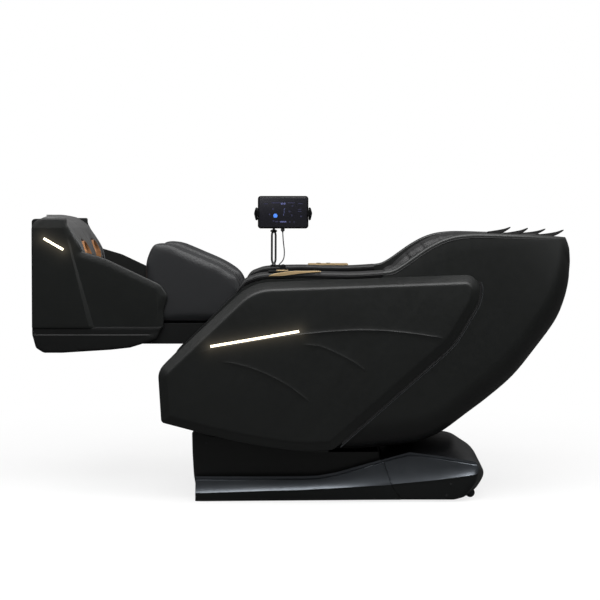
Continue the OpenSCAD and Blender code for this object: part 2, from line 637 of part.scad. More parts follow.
module legrest_frame() color(graphite) {
    for (s = [-1, 1]) side(s) {
        difference() {
            plate(rounded([[-592, deck_z - 8, 0], [-350, deck_z - 8, 30], [leg_at[0] + 24, 606, 22],
                [leg_at[0] + 24, 566, 22], [-352, 562, 16], [-420, 584, 20], [-592, 584, 0]]),
                plate_y + plate_t + 2, plate_y + 2 * plate_t + 2);
            bar_y(leg_at, leg_pin_r + play, plate_y, plate_y + 40);
        }
        difference() {
            translate([-596, slide_y, slide_z]) rotate([0, 90, 0]) cylinder(r = slide_r + 8.5, h = 240);
            translate([-600, slide_y, slide_z]) rotate([0, 90, 0]) cylinder(r = slide_r + play, h = 250);
        }
    }
    translate([-592, -y_calf + 4, deck_z - 8]) cube([236, 2 * y_calf - 8, 8]);
    difference() {
        bar_y([leg_at[0], leg_at[1]], 15, -plate_y + 4, -60);
        bar_y([leg_at[0], leg_at[1]], leg_pin_r + play, -plate_y, -50);
    }
    translate([-400, -plate_y + 8, slide_z - 8]) cube([62, 60, 16]);
    translate([-400, -plate_y + 8, slide_z - 8]) cube([20, 60, deck_z - slide_z + 1]);
}

module calf_housing() color(black) difference() {
    plate(rounded([[-600, deck_z, 6], [-356, deck_z, 0], [-408, 575, 20], [-596, 575, 16]]),
        -y_calf, y_calf);
    plate([[-610, deck_z + 1], [-340, deck_z + 1], [-340, 579], [-610, 579]], -y_calf + 4, y_calf - 4);
}

wing_outline = rounded([[-574, deck_z + gap, 4], [-576, 880, 60], [-546, 952, 30], [-480, 946, 60],
    [-300, 870, 120], [-232, 826, 50], [-215, 786, 60], [-224, deck_z + gap, 10]]);
module calf_wing(s) color(leather) side(s) plate(wing_outline, y_calf - wing_t, y_calf);
module calf_wing_left() calf_wing(-1);
module calf_wing_right() calf_wing(1);

module calf_pad() color(leather) {
    yi = y_calf - wing_t - gap;
    plate(rounded([[-572, deck_z + gap, 3], [-574, 700, 24], [-240, 692, 30],
        [-224, deck_z + gap, 3]]), -yi, yi);
    plate(rounded([[-570, deck_z + 1, 3], [-570, 850, 60], [-500, 890, 60], [-300, 820, 90], [-236, 740, 60],
        [-230, deck_z + 1, 3]]), -rib_w / 2, rib_w / 2);
}

gear_at = [-262, 556];
module leg_motor() color(steel) difference() {
    union() {
        plate(rounded([[leg_at[0] - 22, leg_at[1] + 21, 20], [gear_at[0] + 26, gear_at[1] + 30, 24],
            [gear_at[0] + 26, gear_at[1] - 26, 24], [leg_at[0] - 22, leg_at[1] - 24, 20]]), 100, plate_y);
        bar_y(gear_at, 23, -40, 101);
    }
    bar_y(leg_at, leg_pin_r + play, 99, plate_y + 1);
}

// ---------------------------------------------------------------- foot unit

foot_floor = [[-627, 562], [-700, 554], [-876, 543]];
foot_corners = [[-990, 1037, 20], [-861, 1037, 6], [-861, 1014, 40], [-803, 915, 8],
    [-722, 891, 100], [-517, 794, 10], [-487, 759, 14], [-500, 638, 14],
    [-627, 570, 6], [-627, 562, 0], [-700, 554, 0], [-876, 543, 30], [-944, 543, 24], [-973, 561, 20],
    [-988, 609, 40]];
roller_at = [-938, 770];
foot_strip = [[-943, 963], [-872, 922]];

module foot_side(s) color(graphite) side(s) difference() {
    plate(rounded(foot_corners), y_foot_in, y_foot);
    bar_y(roller_at, 6 + play, y_foot_in - 1, y_foot_in + 6);
    strip(foot_strip, strip_w, y_foot - strip_t, y_foot + 1);
}
module foot_side_left() foot_side(-1);
module foot_side_right() foot_side(1);

module foot_lights() color(light) for (s = [-1, 1]) side(s)
    strip(foot_strip, strip_w, y_foot - strip_t, y_foot + 0.4);

module foot_tray() color(black) {
    plate(rounded([[-990, 1032, 12], [-974, 1036, 3], [-972, 566, 0], [-627, 571, 2], [-627, 562, 0],
        [-700, 554, 0], [-876, 543, 30], [-944, 543, 24], [-973, 561, 20], [-988, 609, 40]]),
        -y_foot_in, y_foot_in);
    for (y = [-150, 110]) translate([-993, y, 600]) cube([8, 40, 136]);
}

// Draws a foot opening's arch w wide between heights z0 and z1, from x0 to x1
module arch(w, z0, z1, x0, x1) translate([x0, 0, 0]) rotate([90, 0, 90]) linear_extrude(x1 - x0) {
    translate([-w / 2, z0]) square([w, z1 - z0 - w / 2]);
    translate([0, z1 - w / 2]) circle(w / 2);
}
arch_z = [600, 952];

module foot_hood() color(leather) difference() {
    plate(rounded([[-971, 1036, 16], [-938, 1050, 40], [-866, 1049, 24], [-824, 975, 60], [-793, 907, 60],
        [-770.7, 642, 10], [-772, 574, 0], [-971, 568, 0]]), -y_foot_in + gap, y_foot_in - gap);
    for (y = [-well_gap / 2, well_gap / 2]) translate([0, y, 0])
        arch(well_w, arch_z[0], arch_z[1], -968, -700);
    bar_y(roller_at, 7, -y_foot_in - 1, y_foot_in + 1);
}

liner_wall = 2.4;
module foot_liner() color(copper) for (y = [-well_gap / 2, well_gap / 2]) difference() {
    translate([0, y, 0]) intersection() {
        arch(well_w - 2 * gap, arch_z[0] + gap, arch_z[1] - gap, -967, -776);
        plate([[-967, 1049], [-866, 1049], [-826, 975], [-796, 905], [-772, 642], [-776, 574],
            [-967, 568]], -100, 100);
    }
    translate([0, y, 0]) arch(well_w - 2 * gap - 2 * liner_wall, arch_z[0] + gap + liner_wall,
        arch_z[1] - gap - liner_wall, -980, -700);
    bar_y(roller_at, 7, y - 80, y + 80);
}

module foot_sliders() color(steel) {
    for (s = [-1, 1]) translate([-763, s * slide_y, slide_z]) rotate([0, 90, 0])
        cylinder(r = slide_r, h = 333);
    translate([-770, -y_foot_in, 569.5]) cube([8, 2 * y_foot_in, arch_z[0] - 571.5]);
    for (s = [-1, 1]) side(s)
        translate([-770, slide_y - 16, 569.5]) cube([8, y_foot_in - slide_y + 16, 59.5]);
}

module sole_roller() color(black) {
    bar_y(roller_at, 6, -y_foot_in - 4, y_foot_in + 4);
    for (y = [-well_gap / 2, well_gap / 2]) for (i = [-2:2])
        bar_y(roller_at, i % 2 == 0 ? roller_r : roller_r - 5, y + 20 * i - 10.1, y + 20 * i + 10.1);
}

// ---------------------------------------------------------------- tablet

turret_at = [-65, -(y_arm - 26)];
tablet_at = [-64.5, -344, 1059];
post_x = -98.5;
knuckle_z = 991;

module tablet_turret() color(graphite)
translate([turret_at[0], turret_at[1], arm_top + trim_t]) difference() {
    union() {
        cylinder(r = 18, h = 5);
        cylinder(r = 12, h = 9);
        cylinder(r = 5, h = 20);
    }
}

module tablet_arm() color(steel) {
    z = arm_top + trim_t + 9 + gap;
    difference() {
        union() {
            translate([turret_at[0], turret_at[1], z]) cylinder(r = 10, h = 10);
            translate([post_x, turret_at[1] - 5, z + 1]) cube([turret_at[0] - post_x, 10, 8]);
            translate([post_x - 12, turret_at[1] - 5, z + 1]) cube([24, 10, 8]);
        }
        translate([turret_at[0], turret_at[1], z - 1]) cylinder(r = 5 + play, h = 20);
    }
    for (x = [post_x - 8.5, post_x + 8.5])
        loft([for (k = [0:5]) let(t = k / 5, y = turret_at[1] + (tablet_at[1] + 12 - turret_at[1]) * t)
            [for (i = [0:15]) [x + arm_rod_r * cos(i * 22.5), y + arm_rod_r * sin(i * 22.5),
                z + 8 + (knuckle_z - z - 8) * t]]]);
    translate([post_x - 12, tablet_at[1] + 12, knuckle_z]) rotate([0, 90, 0]) cylinder(r = 3, h = 24);
}

module tablet_holder() color(graphite) {
    y = tablet_at[1];
    difference() {
        union() {
            translate([post_x - 4.5, y + 12, knuckle_z]) rotate([0, 90, 0]) cylinder(r = 7, h = 9);
            translate([post_x - 4.5, y + 6, knuckle_z]) cube([9, 6, 34]);
        }
        translate([post_x - 12, y + 12, knuckle_z]) rotate([0, 90, 0]) cylinder(r = 3 + play, h = 24);
    }
    translate([tablet_at[0] - 50, y + tablet_t / 2 + gap, tablet_at[2] - 42]) cube([100, 5, 84]);
    for (s = [-1, 1]) {
        x0 = tablet_at[0] + (s > 0 ? 40 : -tablet_w / 2 - 12);
        translate([x0, y + tablet_t / 2 + gap, tablet_at[2] - 14]) cube([tablet_w / 2 - 28, 5, 22]);
        x1 = tablet_at[0] + (s > 0 ? tablet_w / 2 + gap : -tablet_w / 2 - 12);
        translate([x1, y - tablet_t / 2 - 5, tablet_at[2] - 14]) cube([12 - gap, tablet_t + 10.3, 22]);
        x2 = tablet_at[0] + (s > 0 ? tablet_w / 2 - 4 : -tablet_w / 2 - 12);
        translate([x2, y - tablet_t / 2 - 5, tablet_at[2] - 14]) cube([16, 5 - gap, 22]);
    }
}

module tablet() color(black) translate([tablet_at[0], tablet_at[1], tablet_at[2]]) rotate([90, 0, 0])
    translate([0, 0, -tablet_t / 2]) linear_extrude(tablet_t) union() {
        square([tablet_w - 20, tablet_h], center = true);
        square([tablet_w, tablet_h - 20], center = true);
        for (x = [-1, 1], y = [-1, 1])
            translate([x * (tablet_w / 2 - 10), y * (tablet_h / 2 - 10)]) circle(10);
    }

plug_at = [-66, tablet_at[1], tablet_at[2] - tablet_h / 2];
cable_pts = [[plug_at[0], plug_at[1], plug_at[2] - 14 - gap], [-64, plug_at[1] - 3, 955],
    [-60, plug_at[1] - 10, 915], [-64, plug_at[1] - 16, 888],
    [-79.5, turret_at[1], arm_top + trim_t + 18 + 2 * gap]];

// Point of a smooth curve through the points p, at t from 0 to len(p) - 1
function smooth(p, t) =
    let(n = len(p) - 1, i = min(floor(t), n - 1), u = t - i,
        a = p[max(i - 1, 0)], b = p[i], c = p[i + 1], d = p[min(i + 2, n)])
    0.5 * (2 * b + (c - a) * u + (2 * a - 5 * b + 4 * c - d) * u * u + (3 * b - a - 3 * c + d) * u * u * u);

module tablet_cable() color(black)
    loft([for (k = [0:20]) let(p = smooth(cable_pts, k / 5))
        [for (i = [0:11]) [p[0] + cable_d / 2 * cos(30 * i), p[1] - cable_d / 2 * sin(30 * i), p[2]]]]);

module tablet_plug() color(black) {
    translate([plug_at[0] - 7, plug_at[1] - 4, plug_at[2] - 10]) cube([14, 8, 10 - 0.1]);
    translate([plug_at[0], plug_at[1], plug_at[2] - 14]) cylinder(r = 3.4, h = 5);
}

base_frame();
floor_feet();
tilt_pin();
front_cover();
front_skirt();
rear_cover();
control_box();
inlet_panel();
power_switch();
transport_wheel_left();
transport_wheel_right();
cover_screws();
tilt_motor();
tilt_rod();
seat_frame();
back_frame();
track_rails();
leg_hinge_pin();
back_shell();
arm_shell_left();
arm_shell_right();
side_panel_left();
side_panel_right();
light_strip_left();
light_strip_right();
arm_pad_left();
arm_pad_right();
arm_liners();
seat_cushion();
back_cushion();
head_pillow();
shoulder_pad_left();
shoulder_pad_right();
arm_trim_left();
arm_trim_right();
key_power();
key_recline();
massage_carriage();
kneading_wheels();
legrest_frame();
calf_housing();
calf_wing_left();
calf_wing_right();
calf_pad();
leg_motor();
foot_side_left();
foot_side_right();
foot_tray();
foot_lights();
foot_hood();
foot_liner();
foot_sliders();
sole_roller();
tablet_turret();
tablet_arm();
tablet_holder();
tablet();
tablet_cable();
tablet_plug();
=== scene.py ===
"""A reclining massage chair in its zero-gravity position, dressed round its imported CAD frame.

Shapes are worked out in millimetres and become meshes in metres. X runs from the foot end to the head
end, -Y is the sitter's left and Z is up. "Left" and "right" are the sitter's.
"""

import logging
import math
from collections.abc import Callable, Sequence
from dataclasses import dataclass, replace
from enum import Enum

import bmesh
import bpy
import numpy as np
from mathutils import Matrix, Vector
from mathutils.bvhtree import BVHTree
from mathutils.geometry import delaunay_2d_cdt


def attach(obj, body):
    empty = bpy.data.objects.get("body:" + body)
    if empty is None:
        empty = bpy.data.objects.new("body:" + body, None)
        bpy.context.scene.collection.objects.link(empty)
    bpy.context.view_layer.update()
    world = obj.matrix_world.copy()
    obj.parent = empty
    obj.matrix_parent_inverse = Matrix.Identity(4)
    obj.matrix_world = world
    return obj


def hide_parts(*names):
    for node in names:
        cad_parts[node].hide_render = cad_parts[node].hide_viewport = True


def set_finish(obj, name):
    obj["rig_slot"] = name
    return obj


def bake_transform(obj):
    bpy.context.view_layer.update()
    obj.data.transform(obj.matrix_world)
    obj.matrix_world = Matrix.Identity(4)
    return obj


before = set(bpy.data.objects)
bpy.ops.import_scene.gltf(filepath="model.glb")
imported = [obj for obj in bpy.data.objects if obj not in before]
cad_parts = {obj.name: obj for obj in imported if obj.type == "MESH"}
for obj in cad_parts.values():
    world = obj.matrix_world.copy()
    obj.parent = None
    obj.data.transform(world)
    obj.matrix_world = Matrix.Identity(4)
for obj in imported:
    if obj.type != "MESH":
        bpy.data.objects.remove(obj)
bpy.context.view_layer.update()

MM = 0.001
LOG = logging.getLogger("massage_chair")
Points = np.ndarray
Corner = tuple[float, float, float]


# ---------------------------------------------------------------- finishes


class Grain(Enum):
    """What the surface of a finish is like close up."""

    LEATHER = "leather"
    MOULDED = "moulded"
    METAL = "metal"
    RUBBER = "rubber"
    FABRIC = "fabric"
    SMOOTH = "smooth"


SHEEN_ROUGHNESS = 0.5
BRUSHED = (0.06, 1, 1)  # how brushed metal's grain is drawn out along X
CLOUDS = 7.0  # clouds of colour per metre
GLOSS_SCALE = 0.12  # clouds of gloss for each grain
GLOSS_SPREAD = 0.07
PAINTED_GLOW_PEAK = 0.08  # strength of the glow painted on the surface beside a light strip
PAINTED_GLOW_REACH = 0.015  # metres at which that painted glow has fallen to a third


def linear(red: int, green: int, blue: int) -> tuple[float, float, float]:
    """The linear colour of a display colour.

    Args:
        red: Red from 0 to 255.
        green: Green from 0 to 255.
        blue: Blue from 0 to 255.

    Returns:
        The three linear values.
    """
    return tuple(
        v / 12.92 if (v := c / 255) <= 0.04045 else ((v + 0.055) / 1.055) ** 2.4
        for c in (red, green, blue)
    )


def add_node(tree: bpy.types.NodeTree, kind: str, inputs: dict[int | str, object] | None = None,
             **settings: str) -> bpy.types.Node:
    """Adds a node to a shader tree.

    Args:
        tree: The tree that takes it.
        kind: The node's type, after "ShaderNode".
        inputs: A value, or another node's socket, for each input.
        settings: The node's own settings.

    Returns:
        The node.
    """
    made = tree.nodes.new(f"ShaderNode{kind}")
    for name, value in settings.items():
        setattr(made, name, value)
    for key, value in (inputs or {}).items():
        if isinstance(value, bpy.types.NodeSocket):
            tree.links.new(value, made.inputs[key])
        else:
            made.inputs[key].default_value = value
    return made


@dataclass(frozen=True)
class Finish:
    """One finish of the chair, with the material that shows it.

    Args:
        name: The material's name.
        slot: The record's slot that pieces with this finish belong to.
        colour: Display colour from 0 to 255.
        grain: What the surface is like close up.
        roughness: Mean roughness.
        metallic: Share of bare metal.
        specular: Level of the clear reflection.
        sheen: Weight of a cloth-like sheen.
        bump: Height of the grain in millimetres.
        scale: Grains per metre.
        mottle: How far the colour strays from its mean, as a share.
        glow: Strength of the light that it gives off.
        painted_glow: Ends of a light strip whose glow is painted on the surface around it as emission, as x
            and z in metres.
    """

    name: str
    slot: str
    colour: tuple[int, int, int]
    grain: Grain = Grain.MOULDED
    roughness: float = 0.5
    metallic: float = 0.0
    specular: float = 0.5
    sheen: float = 0.0
    bump: float = 0.1
    scale: float = 600.0
    mottle: float = 0.12
    glow: float = 0.0
    painted_glow: tuple[tuple[float, float], tuple[float, float]] | None = None

    def material(self) -> bpy.types.Material:
        """The material of this finish, made once.

        Returns:
            The material.
        """
        found = bpy.data.materials.get(self.name)
        if found:
            return found
        made = bpy.data.materials.new(self.name)
        made.use_nodes = True
        tree = made.node_tree
        shader = tree.nodes["Principled BSDF"]
        colour = linear(*self.colour)
        for socket, value in (("Base Color", (*colour, 1)), ("Roughness", self.roughness),
                              ("Metallic", self.metallic), ("Specular IOR Level", self.specular),
                              ("Sheen Weight", self.sheen), ("Sheen Roughness", SHEEN_ROUGHNESS)):
            shader.inputs[socket].default_value = value
        place = add_node(tree, "TexCoord").outputs["Object"]
        if self.grain is Grain.METAL:
            place = add_node(tree, "Mapping", {"Vector": place, "Scale": BRUSHED}).outputs["Vector"]
        self._tint(tree, shader, self._noise(tree, place, CLOUDS, 4.0), colour)
        self._gloss(tree, shader, self._noise(tree, place, self.scale * GLOSS_SCALE, 5.0))
        if self.bump:
            self._relief(tree, shader, place)
        if self.glow:
            shader.inputs["Emission Color"].default_value = (*colour, 1)
            shader.inputs["Emission Strength"].default_value = self.glow
        # painted light: a strip's glow on this surface is emission in the surface's own material
        if self.painted_glow:
            self._paint_glow(tree, shader)
        return made

    def _paint_glow(self, tree: bpy.types.NodeTree, shader: bpy.types.Node) -> None:
        """Paints a light strip's glow onto the surface around it, as emission that falls off away from the
        strip.

        Args:
            tree: The material's node tree.
            shader: The material's shader.
        """
        (ax, az), (bx, bz) = self.painted_glow
        length = math.hypot(bx - ax, bz - az)
        way = ((bx - ax) / length, 0.0, (bz - az) / length)
        far = add_node(tree, "TexCoord").outputs["Object"]
        for operation, vector in (("SUBTRACT", (ax, 0.0, az)), ("MULTIPLY", (1.0, 0.0, 1.0))):
            far = add_node(tree, "VectorMath", {0: far, 1: vector}, operation=operation).outputs["Vector"]
        along = add_node(tree, "VectorMath", {0: far, 1: way}, operation="DOT_PRODUCT").outputs["Value"]
        along = add_node(tree, "Clamp", {"Value": along, "Max": length}).outputs[0]
        nearest = add_node(tree, "VectorMath", {0: way, "Scale": along}, operation="SCALE").outputs["Vector"]
        far = add_node(tree, "VectorMath", {0: far, 1: nearest}, operation="SUBTRACT").outputs["Vector"]
        far = add_node(tree, "VectorMath", {0: far}, operation="LENGTH").outputs["Value"]
        for operation, value in (("MULTIPLY", -1.0 / PAINTED_GLOW_REACH), ("EXPONENT", 0.0), ("MULTIPLY", PAINTED_GLOW_PEAK)):
            far = add_node(tree, "Math", {0: far, 1: value}, operation=operation).outputs[0]
        shader.inputs["Emission Color"].default_value = (*linear(*WARM), 1)
        tree.links.new(far, shader.inputs["Emission Strength"])

    def _noise(self, tree: bpy.types.NodeTree, place: bpy.types.NodeSocket, scale: float,
               detail: float) -> bpy.types.NodeSocket:
        """A noise value over the piece, with this many clouds per metre and octaves of detail."""
        return add_node(tree, "TexNoise", {"Vector": place, "Scale": scale, "Detail": detail}).outputs["Fac"]

    def _tint(self, tree: bpy.types.NodeTree, shader: bpy.types.Node, cloud: bpy.types.NodeSocket,
              colour: tuple[float, float, float]) -> None:
        """Lets the colour stray a little from place to place.

        Args:
            tree: The material's node tree.
            shader: The material's shader.
            cloud: The noise that says where.
            colour: The mean linear colour.
        """
        ramp = add_node(tree, "ValToRGB", {"Fac": cloud})
        for element, at, stray in zip(ramp.color_ramp.elements, (0.3, 0.7), (-self.mottle, self.mottle)):
            element.position, element.color = at, (*(min(1.0, c * (1 + stray)) for c in colour), 1)
        tree.links.new(ramp.outputs["Color"], shader.inputs["Base Color"])

    def _gloss(self, tree: bpy.types.NodeTree, shader: bpy.types.Node, cloud: bpy.types.NodeSocket) -> None:
        """Lets the roughness stray a little from place to place.

        Args:
            tree: The material's node tree.
            shader: The material's shader.
            cloud: The noise that says where.
        """
        low, high = max(0.02, self.roughness - GLOSS_SPREAD), min(1.0, self.roughness + GLOSS_SPREAD)
        spread = add_node(tree, "MapRange", {"Value": cloud, "To Min": low, "To Max": high})
        tree.links.new(spread.outputs["Result"], shader.inputs["Roughness"])

    def _relief(self, tree: bpy.types.NodeTree, shader: bpy.types.Node, place: bpy.types.NodeSocket) -> None:
        """Gives the surface its grain.

        Args:
            tree: The material's node tree.
            shader: The material's shader.
            place: Where the grain is read.
        """
        fine = self._noise(tree, place, self.scale, 3.0)
        if self.grain in (Grain.LEATHER, Grain.FABRIC):
            feature = "DISTANCE_TO_EDGE" if self.grain is Grain.LEATHER else "F1"
            cells = add_node(tree, "TexVoronoi", {"Vector": place, "Scale": self.scale * 0.7},
                             feature=feature)
            fine = add_node(tree, "Math", {0: cells.outputs["Distance"], 1: 1.6, 2: fine},
                            operation="MULTIPLY_ADD").outputs[0]
        bump = add_node(tree, "Bump", {"Strength": 0.6, "Distance": self.bump * MM, "Height": fine})
        tree.links.new(bump.outputs["Normal"], shader.inputs["Normal"])


WARM = (255, 238, 206)
SOFT_BLACK = Finish("soft_touch_black", "soft_black", (14, 16, 15), roughness=0.4, specular=0.5, bump=0.05)
# The side panels' black, with the light strip's glow painted around the strip as emission.
PANEL_BLACK = replace(SOFT_BLACK, name="panel_black_painted_glow", painted_glow=((-0.324, 0.578), (-0.007, 0.632)))
BASE_BLACK = Finish("base_metallic_black", "base_plastic", (18, 20, 20), roughness=0.34, metallic=0.2,
                    specular=0.5, bump=0.02, scale=2400)
DARK_PLASTIC = Finish("dark_moulded", "black_plastic", (8, 9, 9), roughness=0.5, specular=0.25)
# The foot covers' black, with the foot light's glow painted around the strip as emission.
FOOT_SHELL = Finish("foot_shell_black_painted_glow", "foot_plastic", (14, 16, 15), roughness=0.42, specular=0.35,
                    bump=0.04, painted_glow=((-0.943, 0.963), (-0.872, 0.922)))
LEATHER = Finish("black_leather", "leather_black", (14, 14, 15), Grain.LEATHER, 0.44, specular=0.4, bump=0.35,
                 scale=900)
LEATHER_WING = Finish("calf_leather", "leather_black", (25, 26, 28), Grain.LEATHER, 0.48, specular=0.45,
                      bump=0.35, scale=900)
LEATHER_GREY = Finish("grey_leather", "leather_grey", (74, 74, 74), Grain.LEATHER, 0.5, specular=0.4,
                      bump=0.3, scale=900)
LINING = Finish("knitted_lining", "fabric_grey", (52, 52, 54), Grain.FABRIC, 0.85, specular=0.2, sheen=0.15,
                bump=0.5, scale=1400)
PIPING = Finish("piping_black", "leather_black", (18, 18, 19), Grain.LEATHER, 0.5, specular=0.4, bump=0.1)
FLAP = Finish("flap_leather", "leather_black", (11, 11, 11), Grain.LEATHER, 0.7, specular=0.15, bump=0.2)
# A thin grey line beside the side panel's groove: a painted highlight.
EDGE_HIGHLIGHT = Finish("edge_highlight_grey", "soft_black", (52, 54, 56), roughness=0.4, specular=0.4, bump=0.02)
THREAD = Finish("thread_grey", "leather_black", (58, 58, 60), Grain.FABRIC, 0.8, specular=0.2, bump=0.1)
HOOD_PIPING = Finish("hood_piping_grey", "leather_grey", (62, 63, 64), Grain.LEATHER, 0.45, specular=0.4,
                     bump=0.1)
# Band above the base's crease: partly its own gunmetal trim, partly a painted highlight in its lighter
# colour.
BAND_METAL_AND_HIGHLIGHT = Finish("band_gunmetal_painted_highlight", "base_plastic", (88, 92, 97), roughness=0.34, metallic=0.85, bump=0.03)
DOME_BLACK = Finish("dome_brushed", "base_plastic", (34, 35, 37), Grain.METAL, 0.42, metallic=0.5, bump=0.03,
                    scale=900)
GOLD = Finish("champagne_gold", "gold", (206, 178, 134), Grain.METAL, 0.38, metallic=0.5, bump=0.02,
              scale=900)
COPPER = Finish("copper_tan", "copper", (150, 104, 66), roughness=0.4, metallic=0.3, bump=0.05)
STEEL_BLACK = Finish("painted_steel", "steel_black", (40, 41, 43), roughness=0.45, metallic=0.2, bump=0.08)
STEEL = Finish("bright_steel", "steel_bright", (150, 152, 155), Grain.METAL, 0.3, metallic=1.0, bump=0.03)
MOTOR = Finish("motor_grey", "motor_grey", (88, 90, 93), roughness=0.5, metallic=0.3, bump=0.1)
RUBBER = Finish("black_rubber", "rubber_black", (24, 24, 24), Grain.RUBBER, 0.8, specular=0.25, bump=0.2)
SWITCH_RED = Finish("switch_red", "switch_red", (150, 30, 24), roughness=0.35, bump=0.0)
ARM_STEEL = Finish("tablet_arm_black", "tablet_arm_steel", (18, 18, 19), roughness=0.4, metallic=0.2,
                   specular=0.35, bump=0.02)
GLASS = Finish("tablet_glass", "tablet_glass", (7, 8, 11), Grain.SMOOTH, 0.2, specular=0.2, bump=0.0)
TABLET_CASE = Finish("tablet_case", "tablet_glass", (5, 5, 6), roughness=0.5, specular=0.15, bump=0.03)
GLOW = Finish("warm_white_light", "light_strip", WARM, Grain.SMOOTH, 0.4, bump=0.0, glow=3.0)
BLUE = Finish("display_blue", "tablet_glass", (66, 116, 205), Grain.SMOOTH, 0.4, bump=0.0, glow=0.6)
PALE = Finish("display_pale", "tablet_glass", (74, 78, 118), Grain.SMOOTH, 0.4, bump=0.0, glow=0.3)
DIM = Finish("display_dim", "tablet_glass", (36, 36, 58), Grain.SMOOTH, 0.4, bump=0.0, glow=0.25)
CABLE = Finish("cable_black", "cable", (20, 20, 21), Grain.RUBBER, 0.55, specular=0.35, bump=0.02)
FLOOR = Finish("pale_floor", "base_plastic", (235, 235, 235), Grain.SMOOTH, 0.9, bump=0.0)


# ---------------------------------------------------------------- shapes


def unit(v: Points) -> Points:
    """The vector v at length 1."""
    return v / np.linalg.norm(v)


def fillet(a: Points, p: Points, b: Points, r: float, arc: float) -> Points:
    """Points of the fillet at a corner.

    Args:
        a: The corner before.
        p: The corner.
        b: The corner after.
        r: Radius.
        arc: Degrees between points.

    Returns:
        The points, from a's side to b's.
    """
    u, v = unit(a - p), unit(b - p)
    half = math.acos(float(np.clip(u @ v, -1, 1))) / 2
    centre = p + unit(u + v) * r / math.sin(half)
    start, end = p + u * r / math.tan(half) - centre, p + v * r / math.tan(half) - centre
    first = math.atan2(start[1], start[0])
    turn = (math.atan2(end[1], end[0]) - first + 3 * math.pi) % (2 * math.pi) - math.pi
    n = 1 + round(abs(math.degrees(turn)) / arc)
    angles = first + turn * np.arange(n + 1) / n
    return centre + r * np.stack([np.cos(angles), np.sin(angles)], 1)


class Outline:
    """A closed clockwise outline in XZ, with a radius at each corner."""

    def __init__(self, corners: Sequence[Corner], arc: float = 6.0, edge: float = 14.0) -> None:
        """Reads the corners.

        Args:
            corners: Each corner as x, z and radius; radius 0 keeps it sharp.
            arc: Degrees between the points of a fillet.
            edge: Longest step along a straight side.
        """
        self.xz = np.array([c[:2] for c in corners], float)
        self.radii = [c[2] for c in corners]
        self.arc = arc
        arcs = self._arcs(0.0)
        self.steps = [max(1, math.ceil(np.linalg.norm(arcs[(i + 1) % len(arcs)][0] - a[-1]) / edge))
                      for i, a in enumerate(arcs)]

    def _arcs(self, inset: float) -> list[Points]:
        """The points of each corner, moved inwards.

        Args:
            inset: How far.

        Returns:
            One array a corner.
        """
        p, n = self.xz, len(self.xz)
        if inset:
            moved = []
            for i in range(n):
                u, v = unit(p[i] - p[i - 1]), unit(p[(i + 1) % n] - p[i])
                nu, nv = np.array([u[1], -u[0]]), np.array([v[1], -v[0]])
                moved.append(p[i] + (nu + nv) * inset / (1 + nu @ nv))
            p = np.array(moved)
        arcs = []
        for i, r in enumerate(self.radii):
            a, b, c = p[i - 1], p[i], p[(i + 1) % n]
            if r <= 0:
                arcs.append(b[None])
                continue
            (ux, uz), (vx, vz) = b - a, c - b
            bulge = inset if ux * vz - uz * vx < 0 else -inset
            arcs.append(fillet(a, b, c, max(r - bulge, 1.0), self.arc))
        return arcs

    def ring(self, inset: float = 0.0) -> Points:
        """The outline's points, moved inwards; every inset gives as many.

        Args:
            inset: How far.

        Returns:
            Rows of x and z.
        """
        arcs, out = self._arcs(inset), []
        for i, arc in enumerate(arcs):
            out.extend(arc)
            after = arcs[(i + 1) % len(arcs)][0]
            out.extend(arc[-1] + (after - arc[-1]) * j / self.steps[i] for j in range(1, self.steps[i]))
        return np.array(out)


class DrawnOutline(Outline):
    """An outline whose points are given; it has one size."""

    def __init__(self, points: Points) -> None:
        """Takes the outline's points, as rows of x and z."""
        self.points = points

    def ring(self, inset: float = 0.0) -> Points:
        """The outline's points, whatever the inset."""
        return self.points


def slab(outline: Outline, steps: Sequence[tuple[float, float]], at: Sequence[float] = (0.0, 0.0, 0.0),
         axis: int = 1) -> list[Points]:
    """The rings of a plate at these levels and insets; axis 1 is for an upright plate, 2 for a level one."""
    return [np.insert(outline.ring(inset), axis, level, axis=1) + at for level, inset in steps]


def inside(p: Points, ring: Points) -> Points:
    """Which points lie inside a ring.

    Args:
        p: Rows of x and z.
        ring: The ring's points.

    Returns:
        True for each point that does.
    """
    hit = np.zeros(len(p), bool)
    for (x0, z0), (x1, z1) in zip(ring, np.roll(ring, -1, 0)):
        spans = (z0 > p[:, 1]) != (z1 > p[:, 1])
        if spans.any():
            hit ^= spans & (p[:, 0] < (x1 - x0) * (p[:, 1] - z0) / (z1 - z0 + 1e-12) + x0)
    return hit


def from_line(p: Points, line: Points) -> tuple[Points, Points, Points]:
    """How points lie to a polyline.

    Args:
        p: Rows of x and z.
        line: The polyline's points.

    Returns:
        Distance, distance with a sign (positive on its left), and place along it from 0 to 1.
    """
    a, b = line[:-1], line[1:]
    d = b - a
    lengths = np.linalg.norm(d, axis=1)
    t = np.clip(((p[:, None] - a) * d).sum(2) / (lengths**2 + 1e-12), 0, 1)
    off = p[:, None] - (a + t[..., None] * d)
    far = np.linalg.norm(off, axis=2)
    k = far.argmin(1)
    rows = np.arange(len(p))
    side = np.sign(d[k, 0] * off[rows, k, 1] - d[k, 1] * off[rows, k, 0])
    before = np.concatenate([[0], np.cumsum(lengths)])
    return far[rows, k], far[rows, k] * side, (before[k] + t[rows, k] * lengths[k]) / before[-1]


